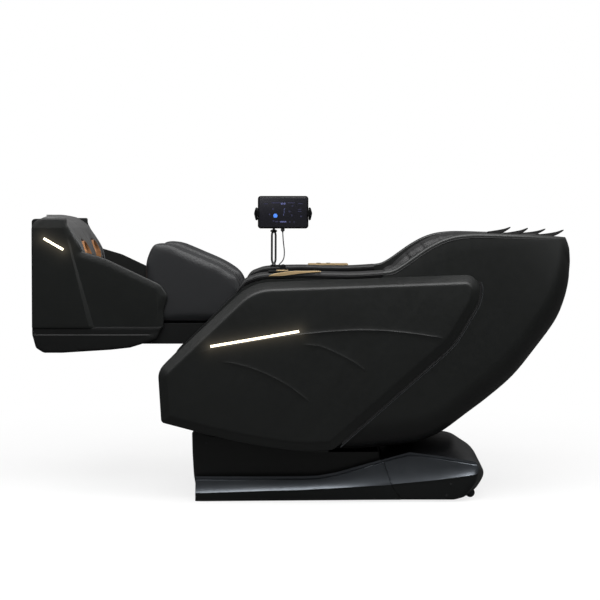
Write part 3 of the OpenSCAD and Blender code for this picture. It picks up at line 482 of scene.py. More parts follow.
def smooth_line(knots: Sequence[Sequence[float]], count: int) -> Points:
    """A smooth curve through knots.

    Args:
        knots: The points it passes through.
        count: Steps between two knots.

    Returns:
        The curve's points.
    """
    p = np.array(knots, float)
    padded = np.vstack([p[:1], p, p[-1:]])
    out = []
    for i in range(len(p) - 1):
        a, b, c, d = padded[i:i + 4]
        for k in range(count):
            u = k / count
            out.append(0.5 * (2 * b + (c - a) * u + (2 * a - 5 * b + 4 * c - d) * u * u
                              + (3 * b - a - 3 * c + d) * u**3))
    out.append(p[-1])
    return np.array(out)


def blend_between(x: Points, low: float, high: float) -> Points:
    """0 below low, 1 above high and smooth between them."""
    t = np.clip((x - low) / (high - low), 0, 1)
    return t * t * (3 - 2 * t)


def circle(count: int, radius: float) -> Points:
    """The points of a circle about the origin, as rows of two coordinates."""
    a = np.arange(count) * 2 * math.pi / count
    return radius * np.column_stack([np.cos(a), np.sin(a)])


class Draft:
    """Points and faces of one mesh, in millimetres."""

    def __init__(self) -> None:
        """Starts with nothing."""
        self.points: list[Points] = []
        self.faces: list[tuple[int, ...]] = []
        self.marks: list[int] = []
        self.count = 0

    def add(self, points: Points, faces: Sequence[Sequence[int]], mark: int = 0) -> "Draft":
        """Adds points and faces between them.

        Args:
            points: Rows of x, y and z.
            faces: Indices into these points.
            mark: Which of the piece's finishes they take.

        Returns:
            This draft.
        """
        self.points.append(np.asarray(points, float))
        self.faces += [tuple(self.count + int(i) for i in f) for f in faces]
        self.marks += [mark] * len(faces)
        self.count += len(points)
        return self

    def loft(self, rings: Sequence[Points], wrap: bool = True, caps: bool = True, mark: int = 0) -> "Draft":
        """Adds a skin through rings of as many points.

        Args:
            rings: The rings, in order.
            wrap: Whether each ring closes on itself.
            caps: Whether the two ends are closed.
            mark: Which of the piece's finishes it takes.

        Returns:
            This draft.
        """
        m, n = len(rings[0]), len(rings)
        last = m if wrap else m - 1
        faces = [(i * m + j, i * m + (j + 1) % m, (i + 1) * m + (j + 1) % m, (i + 1) * m + j)
                 for i in range(n - 1) for j in range(last)]
        if caps:
            faces += [tuple(range(m - 1, -1, -1)), tuple(range((n - 1) * m, n * m))]
        return self.add(np.vstack(rings), faces, mark)

    def block(self, low: Sequence[float], high: Sequence[float]) -> "Draft":
        """Adds a box between two corners.

        Args:
            low: Its lowest corner.
            high: Its highest corner.

        Returns:
            This draft.
        """
        (x0, y0, z0), (x1, y1, z1) = low, high
        rings = [np.array([[x0, y0, z], [x1, y0, z], [x1, y1, z], [x0, y1, z]]) for z in (z0, z1)]
        return self.loft(rings)

    def tube(self, path: Points, radius: float | Points, sides: int = 12, mark: int = 0) -> "Draft":
        """Adds a round tube along a path.

        Args:
            path: The path's points.
            radius: Its radius, or one a point.
            sides: Sides of its section.
            mark: Which of the piece's finishes it takes.

        Returns:
            This draft.
        """
        path = np.asarray(path, float)
        radii = np.broadcast_to(np.asarray(radius, float), len(path))
        ahead = np.gradient(path, axis=0)
        across = np.cross(unit(ahead[0]), [0.31, 0.77, 0.55])
        rings = []
        for p, d, r in zip(path, ahead, radii):
            d = unit(d)
            across = unit(across - d * (across @ d))
            rings.append(p + circle(sides, r) @ [across, np.cross(d, across)])
        return self.loft(rings, mark=mark)

    def turned(self, centre: Sequence[float], axis: int, profile: Sequence[tuple[float, float]],
               sides: int) -> "Draft":
        """Adds a body of revolution.

        Args:
            centre: A point on its axis.
            axis: 0, 1 or 2, for an axis along X, Y or Z.
            profile: Place along the axis and radius, in order.
            sides: Sides of its section.

        Returns:
            This draft.
        """
        rings = []
        for level, r in profile:
            ring = np.zeros((sides, 3))
            ring[:, axis] = level
            ring[:, [(axis + 1) % 3, (axis + 2) % 3]] = circle(sides, r)
            rings.append(ring + np.asarray(centre, float))
        return self.loft(rings)

    def remark(self, test: Callable[[Points], Points], mark: int) -> "Draft":
        """Gives faces another finish.

        Args:
            test: Tells for rows of face middles which faces change.
            mark: Their new finish.

        Returns:
            This draft.
        """
        points = np.vstack(self.points)
        middles = np.array([points[list(f)].mean(0) for f in self.faces])
        self.marks = [mark if hit else old for hit, old in zip(test(middles), self.marks)]
        return self

    def on(self, side: int) -> "Draft":
        """This draft of a right-hand piece, on one side of the chair.

        Args:
            side: -1 for the left, 1 for the right.

        Returns:
            This draft, or its mirror image.
        """
        if side > 0:
            return self
        other = Draft()
        other.points = [p * [1, -1, 1] for p in self.points]
        other.faces = [f[::-1] for f in self.faces]
        other.marks, other.count = list(self.marks), self.count
        return other

    def make(self, name: str, *finishes: Finish, sharp: float = 32.0) -> bpy.types.Object:
        """Turns the draft into a piece.

        Args:
            name: The piece's name.
            finishes: Its finishes, in the order of the marks.
            sharp: Edges that turn more than this many degrees stay sharp.

        Returns:
            The piece.
        """
        mesh = bpy.data.meshes.new(name)
        mesh.from_pydata((np.vstack(self.points) * MM).tolist(), [], self.faces)
        for finish in finishes:
            mesh.materials.append(finish.material())
        mesh.polygons.foreach_set("material_index", self.marks)
        work = bmesh.new()
        work.from_mesh(mesh)
        bmesh.ops.remove_doubles(work, verts=work.verts, dist=2e-6)
        bmesh.ops.recalc_face_normals(work, faces=work.faces)
        work.to_mesh(mesh)
        work.free()
        shade(mesh, sharp)
        piece = bpy.data.objects.new(name, mesh)
        bpy.context.scene.collection.objects.link(piece)
        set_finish(piece, finishes[0].slot)
        return piece


def shade(mesh: bpy.types.Mesh, sharp: float) -> None:
    """Shades a mesh smooth, with its edges sharp where they turn more than this many degrees."""
    mesh.polygons.foreach_set("use_smooth", [True] * len(mesh.polygons))
    mesh.set_sharp_from_angle(angle=math.radians(sharp))
    mesh.update()


def mark_side(name: str, side: int) -> str:
    """The piece's name with its side of the chair."""
    return f"{name}_{'left' if side < 0 else 'right'}"


@dataclass
class ReliefPlate:
    """A plate in XZ with a rim and a face whose height changes from place to place.

    Args:
        outline: The plate's outline.
        rim: From the back to the face, y, inset, and how much of the relief that ring takes.
        depth: How far the face stands back at rows of x and z.
        lines: Lines that the face's mesh follows.
        grid: Spacing of the face's points.
        closed: Whether the back is closed too.
    """

    outline: Outline
    rim: Sequence[tuple[float, float, float]]
    depth: Callable[[Points], Points]
    lines: Sequence[Points] = ()
    grid: float = 9.0
    closed: bool = True

    def draft(self) -> Draft:
        """The plate on the right side of the chair."""
        made = Draft()
        rings = []
        for y, inset, share in self.rim:
            xz = self.outline.ring(inset)
            levels = y - share * self.depth(xz)
            rings.append(np.column_stack([xz[:, 0], levels, xz[:, 1]]))
        made.loft(rings, caps=False)
        y, inset, share = self.rim[-1]
        self._face(made, self.outline.ring(inset), y, share, self.grid)
        if self.closed:
            y, inset, share = self.rim[0]
            self._face(made, self.outline.ring(inset), y, share, 400.0)
        return made

    def _face(self, made: Draft, ring: Points, y: float, share: float, grid: float) -> None:
        """Fills a ring with a face that follows the relief.

        Args:
            made: The draft that takes it.
            ring: The ring's points.
            y: The face's level.
            share: How much of the relief it takes.
            grid: Spacing of its points.
        """
        low, high = ring.min(0), ring.max(0)
        rows = np.arange(low[1], high[1], grid * 0.87)
        cloud = [np.array([low[0] + (0.5 * (i % 2) + j) * grid, z])
                 for i, z in enumerate(rows) for j in range(int((high[0] - low[0]) / grid) + 1)]
        cloud = np.array(cloud).reshape(-1, 2)
        cloud = cloud[inside(cloud, ring)]
        closed_ring = np.vstack([ring, ring[:1]])
        cloud = cloud[from_line(cloud, closed_ring)[0] > grid * 0.45] if len(cloud) else cloud
        points, edges = list(ring), []
        if share:
            for line in self.lines:
                held = inside(line, ring) & (from_line(line, closed_ring)[0] > 1.5)
                for i, keep in enumerate(held):
                    if keep:
                        points.append(line[i])
                        if i and held[i - 1]:
                            edges.append((len(points) - 2, len(points) - 1))
                if len(cloud):
                    cloud = cloud[from_line(cloud, line)[0] > min(grid * 0.4, 2.5)]
        points += list(cloud)
        found = delaunay_2d_cdt([Vector(p) for p in points], edges, [list(range(len(ring)))[::-1]], 1, 1e-5)
        xz = np.array([list(v) for v in found[0]])
        made.add(np.column_stack([xz[:, 0], y - share * self.depth(xz), xz[:, 1]]), found[2])


# ---------------------------------------------------------------- padding


STUFFING_PRESSURE = 4.0
STUFFING_STEPS = 12


class Padding:
    """Turns plain soft solids of the frame into stuffed pieces."""

    @staticmethod
    def copy(node: str, name: str, voxel: float, shrink: float) -> bpy.types.Object:
        """A remeshed copy of a soft solid, a little smaller.

        Args:
            node: The CAD node.
            name: The new piece's name.
            voxel: Size of the remesh in millimetres.
            shrink: How much smaller, in millimetres.

        Returns:
            The piece.
        """
        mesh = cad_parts[node].data.copy()
        mesh.name = name
        work = bmesh.new()
        work.from_mesh(mesh)
        bmesh.ops.remove_doubles(work, verts=work.verts, dist=1e-6)
        work.to_mesh(mesh)
        work.free()
        mesh.materials.clear()
        piece = bpy.data.objects.new(name, mesh)
        bpy.context.scene.collection.objects.link(piece)
        remesh = piece.modifiers.new("remesh", "REMESH")
        remesh.mode, remesh.voxel_size, remesh.use_smooth_shade = "VOXEL", voxel * MM, True
        Padding.apply(piece)
        Padding.relax(piece, 3)
        normals = Padding.normals(piece.data)
        Padding.write(piece.data, Padding.read(piece.data) - normals * shrink * MM)
        return piece

    @staticmethod
    def apply(piece: bpy.types.Object) -> None:
        """Keeps what the piece's modifiers make of it.

        Args:
            piece: The piece.
        """
        graph = bpy.context.evaluated_depsgraph_get()
        made = bpy.data.meshes.new_from_object(piece.evaluated_get(graph))
        old = piece.data
        piece.modifiers.clear()
        piece.data = made
        made.name = piece.name
        bpy.data.meshes.remove(old)

    @staticmethod
    def read(mesh: bpy.types.Mesh) -> Points:
        """The mesh's points in metres."""
        out = np.zeros(len(mesh.vertices) * 3, np.float32)
        mesh.vertices.foreach_get("co", out)
        return out.reshape(-1, 3).astype(float)

    @staticmethod
    def write(mesh: bpy.types.Mesh, points: Points) -> None:
        """Moves the mesh's points, in metres."""
        mesh.vertices.foreach_set("co", points.astype(np.float32).ravel())
        mesh.update()

    @staticmethod
    def normals(mesh: bpy.types.Mesh) -> Points:
        """The mesh's normals at its points."""
        out = np.zeros(len(mesh.vertices) * 3, np.float32)
        mesh.vertex_normals.foreach_get("vector", out)
        return out.reshape(-1, 3).astype(float)

    @staticmethod
    def relax(piece: bpy.types.Object, times: int) -> None:
        """Evens out the piece's surface.

        Args:
            piece: The piece.
            times: How many passes.
        """
        edges = np.zeros(len(piece.data.edges) * 2, np.int32)
        piece.data.edges.foreach_get("vertices", edges)
        a, b = edges.reshape(-1, 2).T
        points = Padding.read(piece.data)
        for _ in range(times):
            total, count = np.zeros_like(points), np.zeros(len(points))
            np.add.at(total, a, points[b])
            np.add.at(total, b, points[a])
            np.add.at(count, a, 1)
            np.add.at(count, b, 1)
            points = 0.5 * points + 0.5 * total / count[:, None]
        Padding.write(piece.data, points)

    @staticmethod
    def inflate(node: str, name: str, voxel: float, shrink: float, cap: float) -> bpy.types.Object:
        """A stuffed piece in the place of a soft solid.

        Args:
            node: The CAD node.
            name: The new piece's name.
            voxel: Size of the remesh in millimetres.
            shrink: How much smaller it starts, in millimetres.
            cap: How far a point may move, in millimetres.

        Returns:
            The piece, not yet riding on a body.
        """
        piece = Padding.copy(node, name, voxel, shrink)
        start = Padding.read(piece.data)
        cloth = piece.modifiers.new("stuffing", "CLOTH")
        cloth.settings.use_pressure = True
        cloth.settings.uniform_pressure_force = STUFFING_PRESSURE
        cloth.settings.effector_weights.gravity = 0
        cloth.settings.quality = 3
        cloth.settings.mass = 0.3
        cloth.collision_settings.use_collision = False
        cloth.point_cache.frame_start, cloth.point_cache.frame_end = 1, STUFFING_STEPS
        for step in range(1, STUFFING_STEPS + 1):
            bpy.context.scene.frame_set(step)
        graph = bpy.context.evaluated_depsgraph_get()
        swollen = Padding.read(piece.evaluated_get(graph).data)
        piece.modifiers.clear()
        bpy.context.scene.frame_set(1)
        move = swollen - start
        far = np.linalg.norm(move, axis=1, keepdims=True) + 1e-12
        limit = cap * MM
        Padding.write(piece.data, start + move / far * limit * np.tanh(far / limit))
        Padding.relax(piece, 1)
        return piece

    @staticmethod
    def press(piece: bpy.types.Object, away: Callable[[Points], Points], depth: float, width: float,
              facing: Sequence[float] | None = None) -> None:
        """Sews a channel into a padded piece.

        Args:
            piece: The piece.
            away: Distance from the seam in millimetres, for rows of points in millimetres.
            depth: How deep the seam pulls in.
            width: How wide the pull spreads.
            facing: Only points whose normal leans this way are pulled.
        """
        points, normals = Padding.read(piece.data), Padding.normals(piece.data)
        pull = depth * MM * np.exp(-((away(points / MM) / width) ** 2))
        if facing is not None:
            pull *= blend_between(normals @ unit(np.array(facing, float)), 0.2, 0.6)
        Padding.write(piece.data, points - normals * pull[:, None])

    @staticmethod
    def clip(piece: bpy.types.Object, axis: int, end: Callable[[Points], Points], soft: float) -> None:
        """Keeps a padded piece short of a limit, with a soft edge there.

        Args:
            piece: The piece.
            axis: 0 or 2, for a limit along X or Z.
            end: The limit in millimetres, for rows of points in millimetres.
            soft: Width of the soft edge.
        """
        points = Padding.read(piece.data)
        limit, width = end(points / MM) * MM, soft * MM
        points[:, axis] = -width * np.logaddexp(-points[:, axis] / width, -limit / width)
        Padding.write(piece.data, points)

    @staticmethod
    def soften(piece: bpy.types.Object, finish: Finish) -> bpy.types.Object:
        """Subdivides a padded piece once and gives it its finish.

        Args:
            piece: The piece.
            finish: Its finish.

        Returns:
            The piece.
        """
        fine = piece.modifiers.new("fine", "SUBSURF")
        fine.levels = fine.render_levels = 1
        Padding.apply(piece)
        piece.data.materials.clear()
        piece.data.materials.append(finish.material())
        piece.data.polygons.foreach_set("use_smooth", [True] * len(piece.data.polygons))
        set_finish(piece, finish.slot)
        return piece

    @staticmethod
    def trace(piece: bpy.types.Object, starts: Points, ways: Points | Sequence[float], lift: float) -> Points:
        """Where rays meet a piece.

        Args:
            piece: The piece.
            starts: Where the rays start, in millimetres.
            ways: Their directions, or one for all.
            lift: How far the points stand off the surface.

        Returns:
            The points they meet, in millimetres; rays that miss are left out.
        """
        tree = BVHTree.FromPolygons([v.co for v in piece.data.vertices],
                                    [p.vertices for p in piece.data.polygons])
        found = []
        for start, way in zip(starts, np.broadcast_to(ways, starts.shape)):
            place, normal, _, _ = tree.ray_cast(Vector(start * MM), Vector(way).normalized())
            if place is not None:
                found.append(np.array(place) / MM + np.array(normal) * lift)
        return np.array(found)


def stitches(made: Draft, path: Points, pitch: float = 6.0, length: float = 3.8, radius: float = 0.45,
             mark: int = 0) -> None:
    """Adds a row of stitches along a path.

    Args:
        made: The draft that takes them.
        path: The path's points.
        pitch: Distance from stitch to stitch.
        length: Length of a stitch.
        radius: Radius of the thread.
        mark: Which of the piece's finishes they take.
    """
    before = np.concatenate([[0], np.cumsum(np.linalg.norm(np.diff(path, axis=0), axis=1))])
    for at in np.arange(pitch, before[-1] - pitch, pitch):
        span = np.array([at - length / 2, at - length / 4, at + length / 4, at + length / 2])
        line = np.column_stack([np.interp(span, before, path[:, k]) for k in range(3)])
        made.tube(line, np.array([0.4, 1, 1, 0.4]) * radius, 5, mark=mark)


# ---------------------------------------------------------------- studio and cable


@dataclass
class Studio:
    """The camera, the pale floor and soft light."""

    camera_at: tuple[float, float, float] = (-0.0035, -5.6, 1.049)
    lens: float = 87.15
    shift: float = -0.1417
    floor_radius: float = 9.0
    floor_lit: float = 0.22
    floor_dim: float = 0.1
    floor_glow: float = 0.78
    floor_fade: tuple[float, float] = (1.1, 2.6)
    sky: tuple[tuple[float, float], ...] = ((0.0, 0.05), (0.5, 0.07), (0.66, 0.28), (1.0, 1.0))
    sky_strength: float = 0.8

    def build(self) -> None:
        """Makes the camera, the floor, the world and the lamps."""
        self._camera()
        self._floor()
        self._world()
        self._lamp("softbox_over", (0.1, -1.15, 2.9), (0.1, -0.3, 0.6), (3.8, 1.5), 60.0)
        self._lamp("softbox_strip", (0.1, -2.25, 2.8), (0.1, -0.3, 0.7), (3.8, 0.6), 62.0)
        self._lamp("softbox_head", (2.6, -1.2, 2.8), (0.5, 0.0, 0.7), (1.6, 1.6), 14.0)
        self._lamp("softbox_foot", (-2.7, -1.5, 2.6), (-0.7, 0.0, 0.6), (1.4, 1.4), 10.0)

    def _camera(self) -> None:
        """Makes the camera."""
        data = bpy.data.cameras.new("camera")
        data.lens, data.sensor_width = self.lens, 36.0
        data.clip_start, data.clip_end = 0.1, 60.0
        data.shift_y = self.shift
        camera = bpy.data.objects.new("camera", data)
        camera.location = self.camera_at
        camera.rotation_euler = (math.radians(90), 0, 0)
        bpy.context.scene.collection.objects.link(camera)
        bpy.context.scene.camera = camera
        bpy.context.scene.view_settings.view_transform = "Standard"

    def _floor(self) -> None:
        """Makes the floor, which fades into the background."""
        made = Draft()
        around = circle(96, self.floor_radius / MM)
        made.loft([np.insert(k * around, 2, -0.2, axis=1) for k in (0.001, 0.3, 1)], caps=False)
        floor = made.make("floor", FLOOR)
        del floor["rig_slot"]
        material = floor.data.materials[0]
        tree = material.node_tree
        tree.nodes.clear()
        camera = add_node(tree, "LightPath").outputs["Is Camera Ray"]
        lit, dim = (add_node(tree, "BsdfDiffuse", {"Color": (level, level, level, 1)}).outputs[0]
                    for level in (self.floor_lit, self.floor_dim))
        glow = add_node(tree, "Emission", {"Strength": self.floor_glow}).outputs[0]
        near = add_node(tree, "AddShader", {0: lit, 1: glow}).outputs[0]
        spot = add_node(tree, "TexCoord").outputs["Object"]
        away = add_node(tree, "VectorMath", {0: spot}, operation="LENGTH").outputs["Value"]
        start, end = self.floor_fade
        fade = add_node(tree, "MapRange", {"Value": away, "From Min": start, "From Max": end},
                        interpolation_type="SMOOTHSTEP").outputs["Result"]
        white = add_node(tree, "Emission").outputs[0]
        seen = add_node(tree, "MixShader", {0: fade, 1: near, 2: white}).outputs[0]
        surface = add_node(tree, "MixShader", {0: camera, 1: dim, 2: seen}).outputs[0]
        add_node(tree, "OutputMaterial", {"Surface": surface})

    def _world(self) -> None:
        """Makes the surroundings: white to the camera, soft light from above to the chair."""
        world = bpy.data.worlds.new("studio")
        bpy.context.scene.world = world
        world.use_nodes = True
        tree = world.node_tree
        tree.nodes.clear()
        camera = add_node(tree, "LightPath").outputs["Is Camera Ray"]
        way = add_node(tree, "TexCoord").outputs["Generated"]
        up = add_node(tree, "SeparateXYZ", {0: way}).outputs["Z"]
        lift = add_node(tree, "MapRange", {"Value": up, "From Min": -1.0}).outputs["Result"]
        ramp = add_node(tree, "ValToRGB", {"Fac": lift})
        elements = ramp.color_ramp.elements
        while len(elements) < len(self.sky):
            elements.new(0.5)
        for element, (at, level) in zip(elements, self.sky):
            element.position, element.color = at, (level, level, level, 1)
        soft = add_node(tree, "Background", {"Color": ramp.outputs["Color"], "Strength": self.sky_strength})
        white = add_node(tree, "Background", {"Color": (1, 1, 1, 1)})
        surface = add_node(tree, "MixShader", {0: camera, 1: soft.outputs[0], 2: white.outputs[0]}).outputs[0]
        add_node(tree, "OutputWorld", {"Surface": surface})

    def _lamp(self, name: str, at: Sequence[float], to: Sequence[float], size: tuple[float, float],
              power: float) -> None:
        """Makes a softbox.

        Args:
            name: Its name.
            at: Where it is, in metres.
            to: What it points at.
            size: Its width and depth.
            power: Its power in watts.
        """
        data = bpy.data.lights.new(name, "AREA")
        data.shape, data.size, data.size_y, data.energy = "RECTANGLE", size[0], size[1], power
        lamp = bpy.data.objects.new(name, data)
        lamp.location = at
        lamp.rotation_euler = (Vector(to) - Vector(at)).to_track_quat("-Z", "Y").to_euler()
        lamp.visible_camera = False
        bpy.context.scene.collection.objects.link(lamp)


@dataclass
class TabletCable:
    """The tablet's thin lead with its plug, from the tablet down into its arm."""

    knots: tuple[tuple[float, float, float], ...] = (
        (-66, -344, 985.7), (-64, -347, 955), (-60, -354, 915), (-64, -360, 888), (-79.5, -356, 869.6))
    diameter: float = 4.0
    plug: tuple[float, float, float] = (-66.0, -344.0, 1000.0)
    bend: tuple[int, int] = (17, 1)

    def build(self) -> None:
        """Makes the plug and the lead."""
        plug = self._plug()
        path = smooth_line(self.knots, 5)
        lead = Draft().tube(path, self.diameter / 2, 12).make("tablet_lead", CABLE)
        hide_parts("tablet_cable")
        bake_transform(lead)

    def _plug(self) -> bpy.types.Object:
        """The plug with its ribbed strain relief.

        Returns:
            The plug.
        """
        made = Draft()
        outline = Outline([(-7, 0, 1.5), (7, 0, 1.5), (7, -9.9, 2.5), (-7, -9.9, 2.5)], edge=6)
        made.loft(slab(outline, ((-4, 0.8), (-3.2, 0), (3.2, 0), (4, 0.8)), self.plug))
        profile = []
        for i in range(5):
            top, r = -9.6 - 0.92 * i, 3.9 - 0.28 * i
            profile += [(top, r), (top - 0.5, r), (top - 0.55, r - 0.7), (top - 0.9, r - 0.7)]
        made.turned(self.plug, 2, profile[::-1], 20)
        plug = made.make("tablet_lead_plug", CABLE)
        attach(plug, "tablet_head")
        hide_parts("tablet_plug")
        return plug


# ---------------------------------------------------------------- the frame's own pieces


def keep(node: str, finish: Finish, bevel: float = 1.0) -> None:
    """Shows one of the frame's own pieces with softened edges and a finish.

    Args:
        node: The CAD node.
        finish: Its finish.
        bevel: Width of its softened edges in millimetres; 0 leaves them.
    """
    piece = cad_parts[node]
    mesh = piece.data
    mesh.materials.clear()
    mesh.materials.append(finish.material())
    mesh.polygons.foreach_set("material_index", [0] * len(mesh.polygons))
    if "custom_normal" in mesh.attributes:
        mesh.attributes.remove(mesh.attributes["custom_normal"])
    mesh.polygons.foreach_set("use_smooth", [True] * len(mesh.polygons))
    weld = piece.modifiers.new("weld", "WELD")
    weld.merge_threshold = 2e-6
    if bevel:
        soft = piece.modifiers.new("edges", "BEVEL")
        soft.width, soft.segments, soft.limit_method = bevel * MM, 2, "ANGLE"
        soft.angle_limit, soft.harden_normals = math.radians(38), True
    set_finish(piece, finish.slot)
    LOG.info("kept %s in %s", node, finish.name)


def place(piece: bpy.types.Object, body: str, *nodes: str, fill: float | None = None) -> bpy.types.Object:
    """Puts a piece on its body, in the place of CAD nodes.

    Args:
        piece: The piece.
        body: The CAD body that it rides on.
        nodes: The nodes that it stands for.
        fill: How tight it is stuffed, for a padded piece; not used.

    Returns:
        The piece.
    """
    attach(piece, body)
    if nodes:
        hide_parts(*nodes)
    LOG.info("%s on %s: %d faces", piece.name, body, len(piece.data.polygons))
    return piece


# ---------------------------------------------------------------- base


@dataclass
class Base:
    """The base: covers with their crease and metallic band, whose lighter colour is partly a painted
    highlight, feet, wheels, inlet and frame.
    """

    crest: tuple[tuple[float, float], ...] = (
        (-420, 91), (-150, 91), (0, 92), (62, 94), (130, 106), (215, 130), (290, 152), (345, 168), (397, 180),
        (450, 175), (520, 165), (600, 152), (640, 145), (700, 132))
    crease: tuple[tuple[float, float], ...] = (
        (-420, 31), (-300, 35), (-150, 40), (0, 44), (150, 52), (326, 64), (508, 82), (618, 97), (700, 110))
    y_top: float = 280.0
    y_crease: float = 292.0
    y_bottom: float = 288.0
    lip: float = 11.0
    floor: float = 8.0
    wall: float = 4.0
    hem: tuple[tuple[float, float], ...] = ((-387, 2), (0, 5), (366, 8))
    split: tuple[tuple[float, float], ...] = ((296, 160), (329, 62), (366, 8))

    def build(self) -> None:
        """Makes the base's pieces."""
        keep("front_cover", SOFT_BLACK, 2.0)
        for side in (-1, 1):
            self._skirt(side)
        self._rear_cover()
        for node, finish, bevel in (
                ("base_frame", STEEL_BLACK, 0.8), ("floor_feet", RUBBER, 1.5), ("tilt_pin", STEEL, 0.8),
                ("control_box", MOTOR, 1.5), ("inlet_panel", DARK_PLASTIC, 0.8),
                ("cover_screws", STEEL_BLACK, 0.4), ("power_switch", SWITCH_RED, 0.8),
                ("transport_wheel_left", RUBBER, 1.5), ("transport_wheel_right", RUBBER, 1.5),
                ("tilt_motor", MOTOR, 1.2), ("tilt_rod", STEEL, 0.8)):
            keep(node, finish, bevel)

    def band(self, x: Points, z: Points) -> Points:
        """How far the base's side stands out at each x and z.

        Args:
            x: Places along the base.
            z: Heights.

        Returns:
            The y of the side.
        """
        top = np.interp(x, *zip(*self.crest))
        mid = np.interp(x, *zip(*self.crease))
        t = np.clip((top - z) / (top - mid), 0, 1)
        lip = 3.0 * np.exp(-(((top - z) - self.lip) / 1.7) ** 2)
        upper = self.y_top + (self.y_crease - self.y_top) * t**3 - lip
        s = np.clip((mid - z) / (mid - self.floor), 0, 1)
        lower = self.y_crease - 1.2 * blend_between(s, 0, 0.08) - (self.y_crease - self.y_bottom - 1.2) * s
        return np.where(z >= mid, upper, lower)

    def _banded(self, middles: Points) -> Points:
        """Whether a face of the outside lies above the crease, on the band whose lighter colour is partly a
        painted highlight.
        """
        x, y, z = middles.T
        return (z > np.interp(x, *zip(*self.crease)) - 0.3) & (np.abs(y) > self.y_top - 4.0)

    def _levels(self, x: float, bottom: float) -> Points:
        """Heights of the side's mesh at one place.

        Args:
            x: Place along the base.
            bottom: The lowest.

        Returns:
            The heights, from the top down.
        """
        top, mid = np.interp(x, *zip(*self.crest)), np.interp(x, *zip(*self.crease))
        upper = [top - d for d in (0, 3, *(self.lip + k for k in (-4.5, -3, -1.5, 0, 1.5, 3, 4.5)))]
        rest = np.linspace(top - self.lip - 4.5, mid, 14)[1:]
        lower = [mid - 0.4, mid - 1.5, *np.linspace(mid - 3.5, bottom, 9)]
        return np.array([*upper, *rest, *lower])

    def _skirt(self, side: int) -> None:
        """Makes the long side trim, down to its slanted rear end.

        Args:
            side: -1 for the left, 1 for the right.
        """
        split = np.array(self.split, float)
        rings = []
        start, end, count, slant = -387, 296, 100, 9
        for k, x in enumerate(np.linspace(start, end, count)):
            z = self._levels(x, float(np.interp(x, *zip(*self.hem))))
            xs = np.full(len(z), x)
            if k >= count - slant:
                lean = np.interp(-z, -split[:, 1], split[:, 0]) - end
                xs = xs + lean * (k - count + slant + 1) / slant
            y = self.band(xs, z)
            if k < 3:
                y = y - (3 - k) * 1.2
            front = np.column_stack([xs, y, z])
            back = np.column_stack([xs, y - self.wall, z])[::-1]
            rings.append(np.vstack([front, back]))
        made = Draft().loft(rings, caps=False)
        n = len(rings[0]) // 2
        for ring, flip in ((rings[0], 1), (rings[-1], -1)):
            faces = [(j, j + 1, 2 * n - 2 - j, 2 * n - 1 - j)[::flip] for j in range(n - 1)]
            made.add(ring, faces)
        for x in (-300, 200):
            made.block((x, 250.4, 16), (x + 30, 278, 36))
        made.block((-386, 250.4, 8), (-381, 272, 86))
        # Faces above the crease take the band's lighter metal, partly a painted highlight.
        made.remark(self._banded, 1)
        skirt = made.on(side).make(mark_side("base_skirt", side), BASE_BLACK, BAND_METAL_AND_HIGHLIGHT, sharp=24)
        place(skirt, "base", *(("front_skirt",) if side < 0 else ()))

    def _rear_cover(self) -> None:
        """Makes the domed rear cover with its crest and creased sides."""
        middle = Outline([(296, 160, 0), (330, 182, 60), (440, 203, 120), (585, 203, 60), (660, 152, 60),
                          (699, 70, 30), (668, 20, 30), (600, 8, 0), (364, 8, 0)], edge=400)
        edge = Outline([(296, 152, 0), (397, 180, 4), (520, 165, 300), (642, 145, 16), (652, 120, 20),
                        (640, 70, 40), (600, 18, 20), (560, 8, 0), (366, 8, 0)], edge=400)
        centre = spread(middle, ((296, 160), (440, 203), (600, 200), (690, 100), (640, 12), (364, 8)))
        flank = spread(edge, ((296, 152), (397, 180), (560, 160), (650, 125), (600, 18), (366, 8)))
        rings = []
        for t in np.linspace(-1, 1, 49):
            w = abs(t) ** 2.4
            rings.append(np.insert(centre * (1 - w) + flank * w, 1, t * self.y_top, axis=1))
        made = Draft().loft(rings, wrap=False, caps=False)
        line = np.array([(x, np.interp(x, *zip(*self.crease))) for x in np.linspace(300, 648, 40)])
        split = smooth_line(((296, 158), (312, 118), (329, 62), (366, 8)), 8)
        lip = np.array([(x, np.interp(x, *zip(*self.crest)) - self.lip) for x in np.linspace(300, 640, 40)])

        def depth(xz: Points) -> Points:
            """How far the side stands in from the crease's level.

            Args:
                xz: Rows of x and z.

            Returns:
                The depth at each.
            """
            away = from_line(xz, flank)[0]
            tail = blend_between(xz[:, 0], 560, 600) * blend_between(xz[:, 1], 8, 30)
            out = self.y_crease - self.band(xz[:, 0], xz[:, 1])
            return out + (self.y_crease - self.y_top - out) * np.exp(-away / 7.0) * tail

        side_outline = DrawnOutline(np.vstack([flank, split[::-1][1:-1]]))
        lines = [line, lip, line - [0, 2], lip + [0, 2.6], lip - [0, 2.6]]
        plate = ReliefPlate(side_outline, [(self.y_crease, 0, 1)], depth, lines, grid=7.0, closed=False)
        for side in (1, -1):
            one = plate.draft().on(side)
            made.add(np.vstack(one.points), one.faces)
        made.remark(lambda m: m[:, 2] > np.interp(m[:, 0], *zip(*self.crest)) - 12.0, 2)
        # Faces above the crease take the band's lighter metal, partly a painted highlight.
        made.remark(self._banded, 1)
        cover = made.make("rear_cover_shell", BASE_BLACK, BAND_METAL_AND_HIGHLIGHT, DOME_BLACK, sharp=26)
        wall = cover.modifiers.new("wall", "SOLIDIFY")
        wall.thickness, wall.offset = 3 * MM, -1
        Padding.apply(cover)
        place(cover, "base", "rear_cover")


